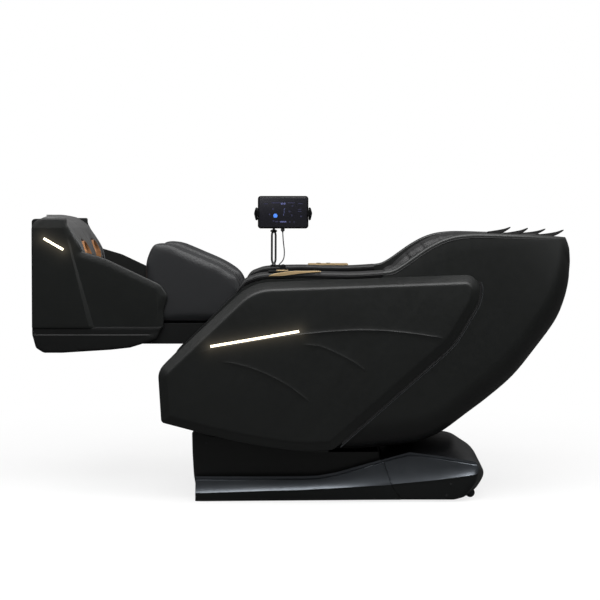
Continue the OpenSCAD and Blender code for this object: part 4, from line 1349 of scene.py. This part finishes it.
def spread(outline: Outline, marks: Sequence[tuple[float, float]], between: int = 30) -> Points:
    """An outline from its first mark to its last, with as many points between one mark and the next.

    Args:
        outline: The outline.
        marks: Places on or near it, in order, as x and z.
        between: How many points.

    Returns:
        The points.
    """
    ring = outline.ring()
    ring = np.vstack([ring, ring[:1]])
    before = np.concatenate([[0], np.cumsum(np.linalg.norm(np.diff(ring, axis=0), axis=1))])
    at = [before[np.argmin(np.linalg.norm(ring[:-1] - m, axis=1))] for m in marks]
    runs = [np.linspace(a, b, between, endpoint=False) for a, b in zip(at, at[1:])]
    span = np.concatenate([*runs, at[-1:]])
    return np.column_stack([np.interp(span, before, ring[:, k]) for k in range(2)])


# ---------------------------------------------------------------- body shells


@dataclass
class BodyShells:
    """The back shell, the two arm shells, the raised side panels and their lights."""

    y_panel: float = 400.0
    y_arm: float = 382.0
    bevel: float = 32.0
    wall: float = 9.0
    corner: float = 120.0
    lip: float = 11.0
    rear: tuple[tuple[float, float, float], ...] = (
        (98, 196, 382), (190, 192, 382), (290, 201, 382), (380, 211, 382), (445, 224, 382), (515, 256, 382),
        (600, 318, 382), (690, 386, 382), (776, 461, 380), (855, 556, 374), (930, 655, 364), (967, 730, 348),
        (989, 806, 328), (993, 862, 308), (989, 915, 284))
    top: tuple[tuple[float, float], ...] = (
        (296, 848), (330, 854), (365, 873), (402, 899), (450, 932), (500, 959), (552, 976), (612, 983),
        (676, 983), (740, 981), (804, 979), (862, 976), (912, 973), (948, 970), (968, 968))
    panel: tuple[Corner, ...] = (
        (-514, 490, 60), (-180, 806, 190), (646, 836, 54), (641, 740, 140), (548, 584, 320), (116, 206, 34),
        (0, 197, 800), (-250, 238, 2000), (-502, 304, 16))
    creases: tuple[tuple[tuple[float, float], ...], ...] = (
        ((-390, 548), (-326, 566), (-170, 596), (-7, 621), (140, 634), (247, 637), (354, 630), (462, 616),
         (556, 597)),
        ((-297, 523), (-236, 516), (-147, 489), (-57, 444), (4, 401), (39, 373)),
        ((-4, 584), (68, 578), (140, 548), (193, 519), (240, 484)))
    crease_heights: tuple[float, ...] = (3.2, 2.4, 2.2)
    crease_reaches: tuple[float, ...] = (34.0, 26.0, 22.0)
    strip: tuple[tuple[float, float], tuple[float, float]] = ((-324, 578), (-7, 632))
    groove_depth: float = 7.0
    # The last bead, in grey, is a painted highlight beside the panel's groove.
    beads: tuple[tuple[float, float, int], ...] = ((-2.0, 3.2, 0), (-6.0, 3.2, 0), (-11.0, 1.5, 1))

    def build(self) -> None:
        """Makes the shells, panels and lights."""
        self._back_shell()
        for side in (-1, 1):
            self._panel(side)
            keep(mark_side("arm_shell", side), SOFT_BLACK, 2.5)
            keep(mark_side("light_strip", side), GLOW, 0.6)

    def _section(self, low: Points, edge: Points, half: float) -> Points:
        """A closed section of the back shell.

        Args:
            low: Its lowest point, as x and z.
            edge: Its edge, as x and z.
            half: Half its width.

        Returns:
            The section's points.
        """
        up = edge - low
        tall = float(np.linalg.norm(up))
        r = min(self.corner, tall * 0.8)
        lip = min(self.lip, tall * 0.15)
        a = np.radians(np.linspace(0, 90, 15))
        b = np.radians(np.linspace(0, 90, 6))
        outer = [*((y, 0.0) for y in np.linspace(0, half - r, 5)[:-1]),
                 *zip(half - r + r * np.sin(a), r - r * np.cos(a)),
                 *((half, v) for v in np.linspace(r, tall - lip, 9)[1:]),
                 *list(zip(half - lip + lip * np.cos(b), tall - lip + lip * np.sin(b)))[1:]]
        thick, r_in = 2 * lip, lip * 0.7
        ri = max(r - self.wall, 3.0)
        inner = [*((y, self.wall) for y in np.linspace(0, half - self.wall - ri, 5)[:-1]),
                 *zip(half - self.wall - ri + ri * np.sin(a), self.wall + ri - ri * np.cos(a)),
                 *((half - self.wall - (thick - self.wall) * float(blend_between(np.array(v), tall - 4 * lip,
                                                                                 tall - 1.6 * lip)), v)
                   for v in np.linspace(self.wall + ri, tall - r_in, 9)[1:]),
                 *list(zip(half - thick + r_in * (1 - np.cos(b)), tall - r_in + r_in * np.sin(b)))[1:]]
        outer, inner = np.array(outer), np.array(inner)
        flip = [-1, 1]
        ring = np.vstack([outer[::-1], outer[1:] * flip, inner[::-1] * flip, inner[1:]])
        way = up / tall
        return np.column_stack([low[0] + way[0] * ring[:, 1], ring[:, 0], low[1] + way[1] * ring[:, 1]])

    def _back_shell(self) -> None:
        """Makes the one-piece back shell with its rolled edge and the seam line under it."""
        rear, top = smooth_line(self.rear, 5), smooth_line(self.top, 5)
        rings = [self._section(b[:2], t, b[2]) for b, t in zip(rear, top)]
        made = Draft().loft(rings, caps=False)
        n = len(rings[0])
        half = (n + 1) // 2
        for ring, flip in ((rings[0], 1), (rings[-1], -1)):
            faces = [(j, j + 1, n - 2 - j, n - 1 - j)[::flip] for j in range(half - 1)]
            made.add(ring, faces)
        shell = made.make("back_shell_skin", SOFT_BLACK, sharp=40)
        place(shell, "body", "back_shell")
        piping = Draft()
        for s in (-1, 1):
            path = [[t[0] + 3, s * (b[2] + 0.2), t[1] - 16.5] for b, t in list(zip(rear, top))[1:-6]]
            piping.tube(np.array(path), 1.6, 8)
        place(piping.make("shell_edge_seam", PIPING), "body")

    def _panel(self, side: int) -> None:
        """Makes a raised side panel with its bevel, creases and light groove.

        Args:
            side: -1 for the left, 1 for the right.
        """
        creases = [smooth_line(c, 8) for c in self.creases]
        offsets = [line + n * k for line in creases for k in (-14, -8, -4, -1.5, 1.5, 4, 8, 14)
                   for n in [self._normals(line)]]
        groove = around_strip(self.strip, 4.4, 0.4)
        def depth(xz: Points) -> Points:
            """How far the panel's face stands back.

            Args:
                xz: Rows of x and z.

            Returns:
                The depth at each.
            """
            out = 5.0 * blend_between(xz[:, 1], 640, 850) ** 1.5 + 3.0 * blend_between(-xz[:, 1], -420, -200)
            for line, height, reach in zip(creases, self.crease_heights, self.crease_reaches):
                far, signed, t = from_line(xz, line)
                fade = blend_between(t, 0.0, 0.14) * (1 - blend_between(t, 0.9, 1.0))
                above = 0.6 * np.exp(-far / reach) + 0.4 * np.exp(-far / 3.0)
                below = np.exp(-far / 5.0)
                out -= height * fade * (np.where(signed > 0, above, below) - 0.35)
            return np.where(inside(xz, groove), self.groove_depth, out)

        rim = [(self.y_arm, 1.0, 0), (self.y_arm + 3, 0.0, 0), (self.y_arm + 4.5, 0.6, 0)]
        for k in range(1, 7):
            rim.append((self.y_arm + 4.5 + 11.0 * (k / 6), 0.6 + (self.bevel - 5) * k / 6, k / 6))
        rim += [(self.y_panel - 0.9, self.bevel - 1.2, 1), (self.y_panel - 0.2, self.bevel + 2, 1),
                (self.y_panel, self.bevel + 6, 1)]
        loops = [densify(np.vstack([loop, loop[:1]]), 12)
                 for loop in (groove, around_strip(self.strip, 6, 2))]
        outline = Outline(self.panel)
        plate = ReliefPlate(outline, rim, depth, [*creases, *offsets, *loops], grid=10.0)
        panel = plate.draft().on(side).make(mark_side("side_panel_skin", side), PANEL_BLACK, sharp=40)
        place(panel, "body", mark_side("side_panel", side))
        beads = Draft()
        for inset, radius, mark in self.beads:
            ring = outline.ring(inset)
            ring = np.roll(ring, -int(np.argmin(ring[:, 0])), axis=0)
            run = ring[(ring[:, 0] > 140) & (ring[:, 1] < 812)]
            beads.tube(np.insert(run, 1, side * self.y_arm, axis=1), radius, 8, mark=mark)
        place(beads.make(mark_side("panel_groove_and_highlight", side), PIPING, EDGE_HIGHLIGHT), "body")

    @staticmethod
    def _normals(line: Points) -> Points:
        """The direction across a line at each of its points."""
        d = np.gradient(line, axis=0)
        d /= np.linalg.norm(d, axis=1, keepdims=True)
        return np.column_stack([-d[:, 1], d[:, 0]])


def around_strip(ends: Sequence[Sequence[float]], half: float, reach: float) -> Points:
    """A loop around a light strip.

    Args:
        ends: The strip's ends, as x and z.
        half: How far the loop lies to the strip's sides.
        reach: How far it goes past the strip's ends.

    Returns:
        The loop's four corners.
    """
    a, b = (np.array(p, float) for p in ends)
    way = unit(b - a)
    across = np.array([-way[1], way[0]]) * half
    return np.array([a + across - way * reach, b + across + way * reach, b - across + way * reach,
                     a - across - way * reach])


def densify(line: Points, step: float) -> Points:
    """The same polyline with points at most a step apart.

    Args:
        line: The polyline.
        step: The longest step.

    Returns:
        The denser polyline.
    """
    out = [line[0]]
    for a, b in zip(line[:-1], line[1:]):
        n = max(1, math.ceil(np.linalg.norm(b - a) / step))
        out += [a + (b - a) * k / n for k in range(1, n + 1)]
    return np.array(out)


# ---------------------------------------------------------------- arms


@dataclass
class Arms:
    """The padded armrests with their piping, the gold trims, the keys and the airbag liners."""

    y_in: float = 300.0
    y_out: float = 382.0
    line: tuple[tuple[float, float], ...] = (
        (-232, 774), (-206, 814), (-176, 830), (-129, 841), (-4, 845), (176, 842), (296, 848))
    thick: float = 24.0
    pad_top: float = 845.3

    def build(self) -> None:
        """Makes both arms' tops and insides."""
        for side in (-1, 1):
            self._pad(side)
        self._blade()
        keep("arm_trim_right", GOLD, 1.2)
        keep("key_power", DARK_PLASTIC, 1.0)
        keep("key_recline", DARK_PLASTIC, 1.0)
        self._liners()

    def _pad(self, side: int) -> None:
        """Makes an armrest pad with its piping and stitches.

        Args:
            side: -1 for the left, 1 for the right.
        """
        path = smooth_line(self.line, 14)
        a = np.radians(np.linspace(0, 90, 6))
        r_out, r_in, r_low = 11.0, 9.0, 3.0
        rings = []
        for k, (x, z) in enumerate(path):
            t = self.thick * min(1.0, 0.16 + k / 16)
            s = t / self.thick
            low = z - t
            crown = [(y, z + 1.6 * s * math.sin(math.pi * (y - self.y_in) / (self.y_out - self.y_in)))
                     for y in np.linspace(self.y_out - r_out, self.y_in + r_in, 9)]
            ring = [(self.y_in + r_low, low), (self.y_out - r_low, low), (self.y_out, low + r_low * s),
                    *zip(self.y_out - r_out + r_out * np.cos(a), z - r_out * s + r_out * s * np.sin(a)),
                    *crown[1:-1],
                    *zip(self.y_in + r_in - r_in * np.sin(a), z - r_in * s + r_in * s * np.cos(a)),
                    (self.y_in, low + r_low * s)]
            rings.append(np.insert(np.array(ring), 0, x, axis=1))
        pad = Draft().loft(rings).on(side).make(mark_side("armrest", side), LEATHER, sharp=50)
        place(pad, "body", mark_side("arm_pad", side), fill=0.8)
        seam = np.array([(x, side * (self.y_out + 0.6), z - 13.5 * min(1, 0.16 + k / 16))
                         for k, (x, z) in enumerate(path)])
        trim = Draft().tube(seam, 1.7, 8)
        stitches(trim, seam + [0, 0, 4.6], mark=1)
        place(trim.make(mark_side("armrest_piping", side), PIPING, THREAD), "body")

    def _blade(self) -> None:
        """Makes the left arm's trim: a pale blade, and the plinth of the tablet's turret."""
        y, top = self.y_out, self.pad_top
        made = Draft()
        blade = Outline([(-120, 829, 0.5), (-98, 838, 6), (-52, 845.6, 30), (-20, 848, 4), (69, 848, 1),
                         (74, 844.5, 0.5), (0, 839, 60), (-64, 830, 60)], edge=20)
        made.loft(slab(blade, ((-y - 0.4, 0), (-y - 2.6, 0), (-y - 3.6, 0.8))))
        for low, high, corners, mark in (
                (top, 848.0, [(-118, -340, 6), (66, -340, 6), (66, -381, 2), (-118, -381, 2)], 1),
                (848.0, 851.0, [(-90, -340, 12), (-46, -340, 12), (-46, -376, 12), (-90, -376, 12)], 0)):
            plate = Outline(corners, edge=20)
            made.loft(slab(plate, ((low, 0), (high - 0.7, 0), (high, 0.7)), axis=2), mark=mark)
        place(made.make("arm_blade_left", GOLD, DARK_PLASTIC, sharp=35), "body", "arm_trim_left")

    def _liners(self) -> None:
        """Makes the airbag liners inside both arms."""
        liners = Padding.inflate("arm_liners", "arm_airbags", voxel=9.0, shrink=4.0, cap=6.0)
        for z in (600.0, 700.0):
            Padding.press(liners, lambda p, z=z: np.abs(p[:, 2] - z - 0.1 * p[:, 0]), depth=5.0, width=7.0)
        place(Padding.soften(liners, LINING), "body", "arm_liners", fill=0.6)


# ---------------------------------------------------------------- upholstery


@dataclass
class Upholstery:
    """The seat, back, head and shoulder cushions with their seams."""

    centre: tuple[float, float] = (36.0, 1451.0)
    seam_y: float = 152.0
    pillow_top: float = 975.0
    channels: tuple[float, ...] = (-74, -66, -58, -50, -42)
    per_degree: float = 17.4
    inner: float = 700.0

    def build(self) -> None:
        """Makes the cushions."""
        self._seat()
        self._back()
        self._pillow()
        self._shoulders()
        self._flaps()

    def _flaps(self) -> None:
        """Makes the leather flaps that lie over the shell's edge at the head end."""
        for name, at in (("head_flap_inner", ((752, 972, 0), (790, 980, 4), (818, 989, 2), (840, 1000, 0))),
                         ("head_flap_outer", ((872, 966, 0), (912, 972, 3), (948, 981, 2), (976, 993, 0)))):
            made = Draft()
            spine = smooth_line([(x, z) for x, z, _ in at], 8)
            for side in (-1, 1):
                rings = []
                for k, (x, z) in enumerate(spine):
                    t = k / (len(spine) - 1)
                    wide, thick = 46.0 * (1 - t) ** 0.5 + 2.5, 10.0 * (1 - t) ** 0.8 + 1.6
                    middle = side * (236.0 - (x - 752) * 0.16)
                    a = np.arange(16) * 2 * math.pi / 16
                    y = middle + wide * np.cos(a)
                    droop = 6.0 * (1 - t) * ((y - middle) / wide) ** 2
                    rings.append(np.column_stack([np.full(16, x), y, z - droop + thick * np.sin(a)]))
                made.loft(rings)
            place(made.make(name, FLAP, sharp=60), "body", fill=0.2)

    def _seat(self) -> None:
        """Makes the seat cushion."""
        seat = Padding.inflate("seat_cushion", "seat_pad", voxel=9.0, shrink=7.0, cap=13.0)
        up = (0.56, 0.0, 0.83)
        Padding.press(seat, self._from_seams, depth=9.0, width=9.0, facing=up)
        Padding.press(seat, lambda p: np.abs(p[:, 0] + 20), depth=6.0, width=8.0, facing=up)
        Padding.soften(seat, LEATHER)
        place(seat, "body", "seat_cushion", fill=0.6)
        self._sew(seat, [(np.array([(x, y, 900.0) for x in np.linspace(-200, 150, 60)]), (0, 0, -1))
                         for y in (-self.seam_y, self.seam_y)], "seat_stitching")

    def _back(self) -> None:
        """Makes the long back cushion."""
        back = Padding.inflate("back_cushion", "back_pad", voxel=10.0, shrink=5.0, cap=9.0)
        for angle in self.channels:
            Padding.press(back, lambda p, a=angle: np.abs(self._turn(p) - a) * self.per_degree, depth=5.0,
                          width=9.0)
        Padding.press(back, self._from_seams, depth=7.0, width=8.0)
        Padding.soften(back, LEATHER)
        place(back, "body", "back_cushion", fill=0.5)
        a = np.radians(np.linspace(-80, -33, 90))
        rows = []
        for y in (-self.seam_y, self.seam_y):
            starts = np.column_stack([self.centre[0] + self.inner * np.cos(a), np.full(len(a), y),
                                      self.centre[1] + self.inner * np.sin(a)])
            middle = np.array([self.centre[0], 0, self.centre[1]])
            rows.append((starts, np.array([unit((p - middle) * [1, 0, 1]) for p in starts])))
        self._sew(back, rows, "back_stitching")

    def _from_seams(self, p: Points) -> Points:
        """Distance from the two long seams, for rows of points."""
        return np.abs(np.abs(p[:, 1]) - self.seam_y)

    def _turn(self, p: Points) -> Points:
        """Degrees round the track's centre, for rows of points."""
        return np.degrees(np.arctan2(p[:, 2] - self.centre[1], p[:, 0] - self.centre[0]))

    def _sew(self, piece: bpy.types.Object, rows: Sequence[tuple[Points, Points | Sequence[float]]],
             name: str) -> None:
        """Lays stitches on a cushion along rows.

        Args:
            piece: The cushion.
            rows: Starts and directions of the rays that find each row.
            name: The stitches' name.
        """
        made = Draft()
        for starts, ways in rows:
            path = Padding.trace(piece, starts, ways, 0.3)
            if len(path) > 3:
                stitches(made, path, 7.0, 4.2, 0.6)
        if made.count:
            place(made.make(name, THREAD), "body")

    def _pillow(self) -> None:
        """Makes the head pillow."""
        pillow = Padding.inflate("head_pillow", "head_rest", voxel=8.0, shrink=5.0, cap=10.0)
        Padding.press(pillow, lambda p: np.abs(np.abs(p[:, 1]) - 96), depth=6.0, width=8.0)
        Padding.clip(pillow, 2, lambda p: np.full(len(p), self.pillow_top), soft=5.0)
        place(Padding.soften(pillow, LEATHER), "body", "head_pillow", fill=0.7)

    def _shoulders(self) -> None:
        """Makes the shoulder airbag pads of both sides."""
        for side in (-1, 1):
            pad = Padding.inflate(mark_side("shoulder_pad", side), mark_side("shoulder_airbag", side),
                                  voxel=8.0, shrink=6.0, cap=8.0)
            for k in range(5):
                Padding.press(pad, lambda p, k=k: np.abs(p[:, 0] - 420 - 80 * k + 0.55 * (p[:, 2] - 900)),
                              depth=5.0, width=6.0, facing=(0, -side, 0.4))
            place(Padding.soften(pad, LEATHER), "body", mark_side("shoulder_pad", side), fill=0.7)


# ---------------------------------------------------------------- drives


@dataclass
class Drives:
    """The seat and back frames, the curved track and the massage head."""

    def build(self) -> None:
        """Gives the frame's mechanical pieces their finishes."""
        for node, finish, bevel in (
                ("seat_frame", STEEL_BLACK, 1.0), ("back_frame", STEEL_BLACK, 0.8),
                ("track_rails", STEEL, 0.5), ("leg_hinge_pin", STEEL, 0.8), ("massage_carriage", STEEL, 0.6),
                ("kneading_wheels", COPPER, 1.2), ("legrest_frame", STEEL_BLACK, 0.8),
                ("leg_motor", MOTOR, 1.2), ("foot_sliders", STEEL, 0.8), ("sole_roller", DARK_PLASTIC, 1.0)):
            keep(node, finish, bevel)


# ---------------------------------------------------------------- leg rest


@dataclass
class LegRest:
    """The calf unit: two padded wings, the pad between them and the housing under them."""

    def build(self) -> None:
        """Makes the calf unit's pieces."""
        keep("calf_housing", DARK_PLASTIC, 1.5)
        for side in (-1, 1):
            wing = Padding.inflate(mark_side("calf_wing", side), mark_side("calf_bolster", side),
                                   voxel=7.0, shrink=4.0, cap=5.0)
            Padding.relax(wing, 3)
            place(Padding.soften(wing, LEATHER_WING), "legrest", mark_side("calf_wing", side), fill=0.8)
        pad = Padding.inflate("calf_pad", "calf_cushion", voxel=8.0, shrink=5.0, cap=8.0)
        place(Padding.soften(pad, LINING), "legrest", "calf_pad", fill=0.6)


# ---------------------------------------------------------------- foot unit


@dataclass
class FootUnit:
    """The foot box: side covers with ribs and wings, lights, tray, hood and liners."""

    y_in: float = 262.0
    y_out: float = 276.0
    cover: tuple[Corner, ...] = (
        (-989, 1037, 42), (-861, 1037, 6), (-861, 1014, 40), (-803, 915, 8), (-722, 891, 100),
        (-517, 794, 44), (-487, 752, 34), (-504, 700, 40), (-504, 633, 8), (-987, 633, 5))
    band: tuple[Corner, ...] = (
        (-985, 640, 2), (-508, 640, 3), (-532, 594, 12), (-588, 574, 8), (-627, 562, 0), (-700, 554, 0),
        (-876, 543, 30), (-944, 543, 24), (-973, 561, 20), (-986, 609, 30))
    rib: tuple[tuple[float, float, float], ...] = ((633, -777, -757), (891, -840, -833), (954, -856, -848))
    recess: float = 6.0
    bevel: float = 22.0
    chamfer_z: float = 1001.0
    light: tuple[tuple[float, float], tuple[float, float]] = ((-943, 963), (-872, 922))
    groove_depth: float = 6.0
    band_step: float = 2.0
    piping: tuple[tuple[float, float], ...] = (
        (-880, 1022), (-862, 1008), (-833, 968), (-811, 934), (-796, 900), (-788, 850), (-779, 740),
        (-772, 646))
    dome: tuple[tuple[float, float], ...] = (
        (600, -700), (850, -752), (900, -786), (928, -800), (964, -826), (1000, -850), (1021, -872),
        (1040, -904), (1050, -950), (1060, -990))

    def build(self) -> None:
        """Makes the foot unit's pieces."""
        for side in (-1, 1):
            self._side(side)
        keep("foot_tray", DARK_PLASTIC, 2.0)
        keep("foot_lights", GLOW, 0.6)
        keep("foot_liner", COPPER, 0.0)
        hood = Padding.inflate("foot_hood", "foot_bootie", voxel=7.0, shrink=3.0, cap=4.0)
        Padding.clip(hood, 0, lambda p: np.interp(p[:, 2], *zip(*self.dome)), soft=6.0)
        for y in (0.0, 200.0):
            Padding.press(hood, lambda p, y=y: np.abs(np.abs(p[:, 1]) - y), depth=3.0, width=6.0,
                          facing=(0.5, 0, 0.8))
        place(Padding.soften(hood, LEATHER_GREY), "footrest", "foot_hood", fill=0.6)
        edge = Draft()
        for side in (-1, 1):
            line = smooth_line(self.piping, 8)
            edge.tube(np.insert(line - [1.0, 0.0], 1, side * (self.y_in - 7.0), axis=1), 3.6, 10)
        place(edge.make("foot_hood_piping", HOOD_PIPING), "footrest")

    def _depth(self, xz: Points) -> Points:
        """How far the side cover's face stands back.

        Args:
            xz: Rows of x and z.

        Returns:
            The depth at each.
        """
        heights, left, right = zip(*self.rib)
        low, high = np.interp(xz[:, 1], heights, left), np.interp(xz[:, 1], heights, right)
        wing = np.clip((xz[:, 0] - low) / (high - low), 0, 1)
        edge = np.array([c[:2] for c in self.cover[3:9]], float)
        far = from_line(xz, edge)[0]
        out = self.recess * wing + 4.4 * wing * (1 - np.clip(far / self.bevel, 0, 1))
        out += 5.0 * np.clip((xz[:, 1] - self.chamfer_z) / 36.0, 0, 1)
        return np.where(inside(xz, around_strip(self.light, 4.4, 0.4)), self.groove_depth, out)

    def _side(self, side: int) -> None:
        """Makes a side cover with its rib, its recessed wing and the band under it.

        Args:
            side: -1 for the left, 1 for the right.
        """
        heights = np.linspace(640, 950, 40)
        levels, left, right = zip(*self.rib)
        lines = [np.column_stack([np.interp(heights, levels, xs), heights]) for xs in (left, right)]
        lines += [line + [k, 0] for line in lines for k in (-1.4, 1.4)]
        inner = Outline(self.cover).ring(self.bevel)
        inner = inner[(inner[:, 0] > -815) & (inner[:, 1] > 660)]
        lines.append(inner[np.argsort(inner[:, 0])])
        lines += [np.column_stack([np.linspace(-980, -866, 16), np.full(16, self.chamfer_z + k)])
                  for k in (-1.0, 1.0)]
        for half, reach in ((4.4, 0.4), (5.6, 1.6)):
            loop = around_strip(self.light, half, reach)
            lines.append(densify(np.vstack([loop, loop[:1]]), 8))
        out = self.y_out
        rim = [(self.y_in + 0.4, 1.0, 0), (self.y_in + 1.2, 0, 0), (out - 3.4, 0, 1), (out - 1.6, 0.5, 1),
               (out - 0.5, 1.8, 1), (out, 4.0, 1)]
        made = ReliefPlate(Outline(self.cover), rim, self._depth, lines, grid=9.0).draft()
        low = out - 3.0
        step = [np.column_stack([np.linspace(-984, -560, 50), np.full(50, 609.0 + k)]) for k in (-1.5, 1.5)]
        rim = [(self.y_in + 0.4, 1.0, 0), (self.y_in + 1.2, 0, 0), (low - 4.0, 0, 1), (low - 1.4, 1.0, 1),
               (low, 4.0, 1)]
        band = ReliefPlate(Outline(self.band), rim,
                           lambda xz: self.band_step * blend_between(xz[:, 1], 607.5, 610.5),
                           step, grid=9.0).draft()
        cover = made.on(side).make(mark_side("foot_cover", side), FOOT_SHELL, sharp=30)
        place(cover, "footrest", mark_side("foot_side", side))
        place(band.on(side).make(mark_side("foot_band", side), DARK_PLASTIC, sharp=30), "footrest")


# ---------------------------------------------------------------- tablet


@dataclass
class TabletStand:
    """The tablet with its holder and slim arm."""

    middle: tuple[float, float, float] = (-64.5, -344.0, 1059.0)
    width: float = 183.0
    height: float = 118.0
    thick: float = 10.0
    post_x: float = -98.5
    knuckle_z: float = 991.0
    arm_z: float = 860.3
    turret: tuple[float, float] = (-65.0, -356.0)
    rod: float = 3.8
    spread: float = 6.8
    dots: tuple[tuple[float, float, float, int], ...] = (
        (-28, -12.5, 7.6, 0), (-5, 31, 4.0, 1), (5, 31, 4.0, 1), (-36.5, 11, 3.4, 2), (-49, -8, 3.2, 2),
        (23, 2.5, 3.8, 2), (34, 23, 3.0, 2), (31, -11, 3.0, 2), (65, -15, 3.0, 2), (-35, -32, 3.0, 2),
        (24, -35, 3.0, 2), (40, -36, 3.0, 2), (5, 12, 1.8, 1), (1.5, -9.5, 1.8, 1))
    dashes: tuple[tuple[float, float, float, float, int], ...] = (
        (-27, 34, 15, 2.2, 2), (28, 34, 14, 1.8, 2), (0, -34.5, 12, 2.6, 1), (-24, -34, 6, 2.4, 2),
        (3.5, 4, 0.8, 9, 1), (-62, 30, 8, 1.5, 2), (62, 31, 9, 1.5, 2), (60, 10, 7, 1.2, 2),
        (60, 3, 7, 1.2, 2))

    def build(self) -> None:
        """Makes the tablet, its display, its holder and its arm."""
        keep("tablet_turret", ARM_STEEL, 0.8)
        self._arm()
        self._holder()
        self._tablet()

    def _arm(self) -> None:
        """Makes the slim arm: a foot on the turret and two bowed rods up to the knuckle."""
        x, (tx, ty), top = self.post_x, self.turret, self.knuckle_z
        base = self.arm_z
        made = Draft()
        made.turned((tx, ty, base), 2, [(0, 8.6), (0.8, 10), (8.2, 10), (9, 9.2), (9, 5.2), (0, 5.2)], 40)
        foot = Outline([(x - 12, 5, 4.5), (tx - 8, 5, 0.5), (tx - 8, -5, 0.5), (x - 12, -5, 4.5)], edge=20)
        made.loft(slab(foot, ((1, 0.7), (1.7, 0), (8.3, 0), (9, 0.7)), (0, ty, base), axis=2))
        made.turned((x, ty, base), 2, [(8.5, 8.5), (10, 8.0), (14, 5.2), (15, 4.6)], 28)
        low, high = np.array([x, ty, base + 9]), np.array([x, self.middle[1] + 12, top])
        t = np.linspace(0, 1, 25)
        bow = blend_between(t, 0.0, 0.16) * blend_between(1 - t, -0.04, 0.12)
        spread = self.spread * np.minimum(1, 0.35 + 0.65 * bow)
        for s in (-1, 1):
            path = low + (high - low) * t[:, None]
            path[:, 0] += s * spread
            made.tube(path, self.rod, 12)
        made.turned((x, self.middle[1] + 12, top), 0, [(-12, 2.4), (-11.4, 3), (11.4, 3), (12, 2.4)], 24)
        for s in (-1, 1):
            made.turned((x, self.middle[1] + 12, top), 0,
                        [(s * 5.0, 4.6), (s * 5.4, 5.2), (s * 8.4, 5.2), (s * 8.8, 4.6)][::s], 24)
        place(made.make("tablet_arm_rods", ARM_STEEL, sharp=35), "tablet_post", "tablet_arm")

    def _holder(self) -> None:
        """Makes the holder: a back plate, its knuckle and the two round clips."""
        x, y, z = self.middle
        px, kz, w, t = self.post_x, self.knuckle_z, self.width / 2, self.thick / 2
        back, front, at = y + t + 0.3, y - t, (x, 0, z)
        made = Draft()
        made.turned((px, y + 12, kz), 0, [(-4.5, 6.2), (-3.8, 7), (3.8, 7), (4.5, 6.2)], 32)
        made.block((px - 4.5, y + 6.2, kz), (px + 4.5, y + 11.4, kz + 36))
        plate = Outline([(-50, 42, 10), (50, 42, 10), (50, -42, 10), (-50, -42, 10)], edge=30)
        made.loft(slab(plate, ((back, 0.8), (back + 0.8, 0), (back + 4.2, 0), (back + 5, 0.8)), at))
        for s in (-1, 1):
            for edge, corners, steps in (
                    (30, [(44, 8, 3), (w + 8, 8, 3), (w + 8, -14, 3), (44, -14, 3)],
                     ((back + 0.2, 0.6), (back + 0.8, 0), (back + 4.0, 0), (back + 4.8, 0.8))),
                    (16, [(w + 0.4, 18, 4), (w + 8, 17, 5), (w + 14, -4, 20), (w + 8, -29, 5),
                          (w + 0.4, -30, 4)],
                     ((front - 5, 1.6), (front - 4.4, 0.5), (front - 3, 0), (back + 3.5, 0),
                      (back + 4.6, 0.8))),
                    (16, [(w - 4, 6, 2.5), (w + 4, 10, 3), (w + 4, -18, 3), (w - 4, -14, 2.5)],
                     ((front - 5, 1.2), (front - 4.2, 0.2), (front - 1.0, 0), (front - 0.3, 0.5)))):
                part = Outline([(s * along, up, radius) for along, up, radius in corners][::s], edge=edge)
                made.loft(slab(part, steps, at))
        place(made.make("tablet_clips", TABLET_CASE, sharp=35), "tablet_head", "tablet_holder")

    def _tablet(self) -> None:
        """Makes the tablet's case, glass and generic display."""
        x, y, z = self.middle
        w, h, t = self.width / 2, self.height / 2, self.thick / 2
        at, back, front = (x, 0, z), y + t, y - t
        case = Draft().loft(slab(box_outline(w, h, 11), (
            (back, 2.5), (back - 1.2, 0.6), (back - 2.5, 0), (front + 2.5, 0), (front + 0.9, 0.7),
            (front, 2.6), (front, 5.0), (front + 0.6, 5.4)), at))
        screen = Draft().loft(slab(box_outline(w - 5.6, h - 5.6, 6), (
            (front + 1.2, 0), (front + 0.35, 0), (front + 0.1, 0.5)), at))
        place(case.make("tablet_case", TABLET_CASE, sharp=40), "tablet_head", "tablet")
        place(screen.make("tablet_screen", GLASS, sharp=40), "tablet_head")
        marks, level = Draft(), front - 0.05
        for dx, dz, radius, tone in self.dots:
            ring = np.insert(circle(24, radius) + [x + dx, z + dz], 1, level, axis=1)
            marks.loft([ring + [0, 0.3, 0], ring], mark=tone)
        for dx, dz, half, tall, tone in self.dashes:
            dash = box_outline(half, tall, min(half, tall) * 0.8)
            marks.loft(slab(dash, ((level + 0.3, 0), (level, 0)), (x + dx, 0, z + dz)), mark=tone)
        place(marks.make("tablet_display", BLUE, PALE, DIM), "tablet_head")


def box_outline(half: float, tall: float, radius: float) -> Outline:
    """The outline of a rounded rectangle about the origin, from half its width and half its height."""
    return Outline([(-half, tall, radius), (half, tall, radius), (half, -tall, radius),
                    (-half, -tall, radius)], edge=40)


# ---------------------------------------------------------------- the whole chair


def main() -> None:
    """Builds the studio and every sub-assembly, in order."""
    logging.basicConfig(level=logging.INFO, format="%(message)s")
    Studio().build()
    TabletCable().build()
    for part in (Base(), BodyShells(), Arms(), Upholstery(), Drives(), LegRest(), FootUnit(), TabletStand()):
        LOG.info("building %s", type(part).__name__)
        part.build()


if __name__ == "__main__":
    main()
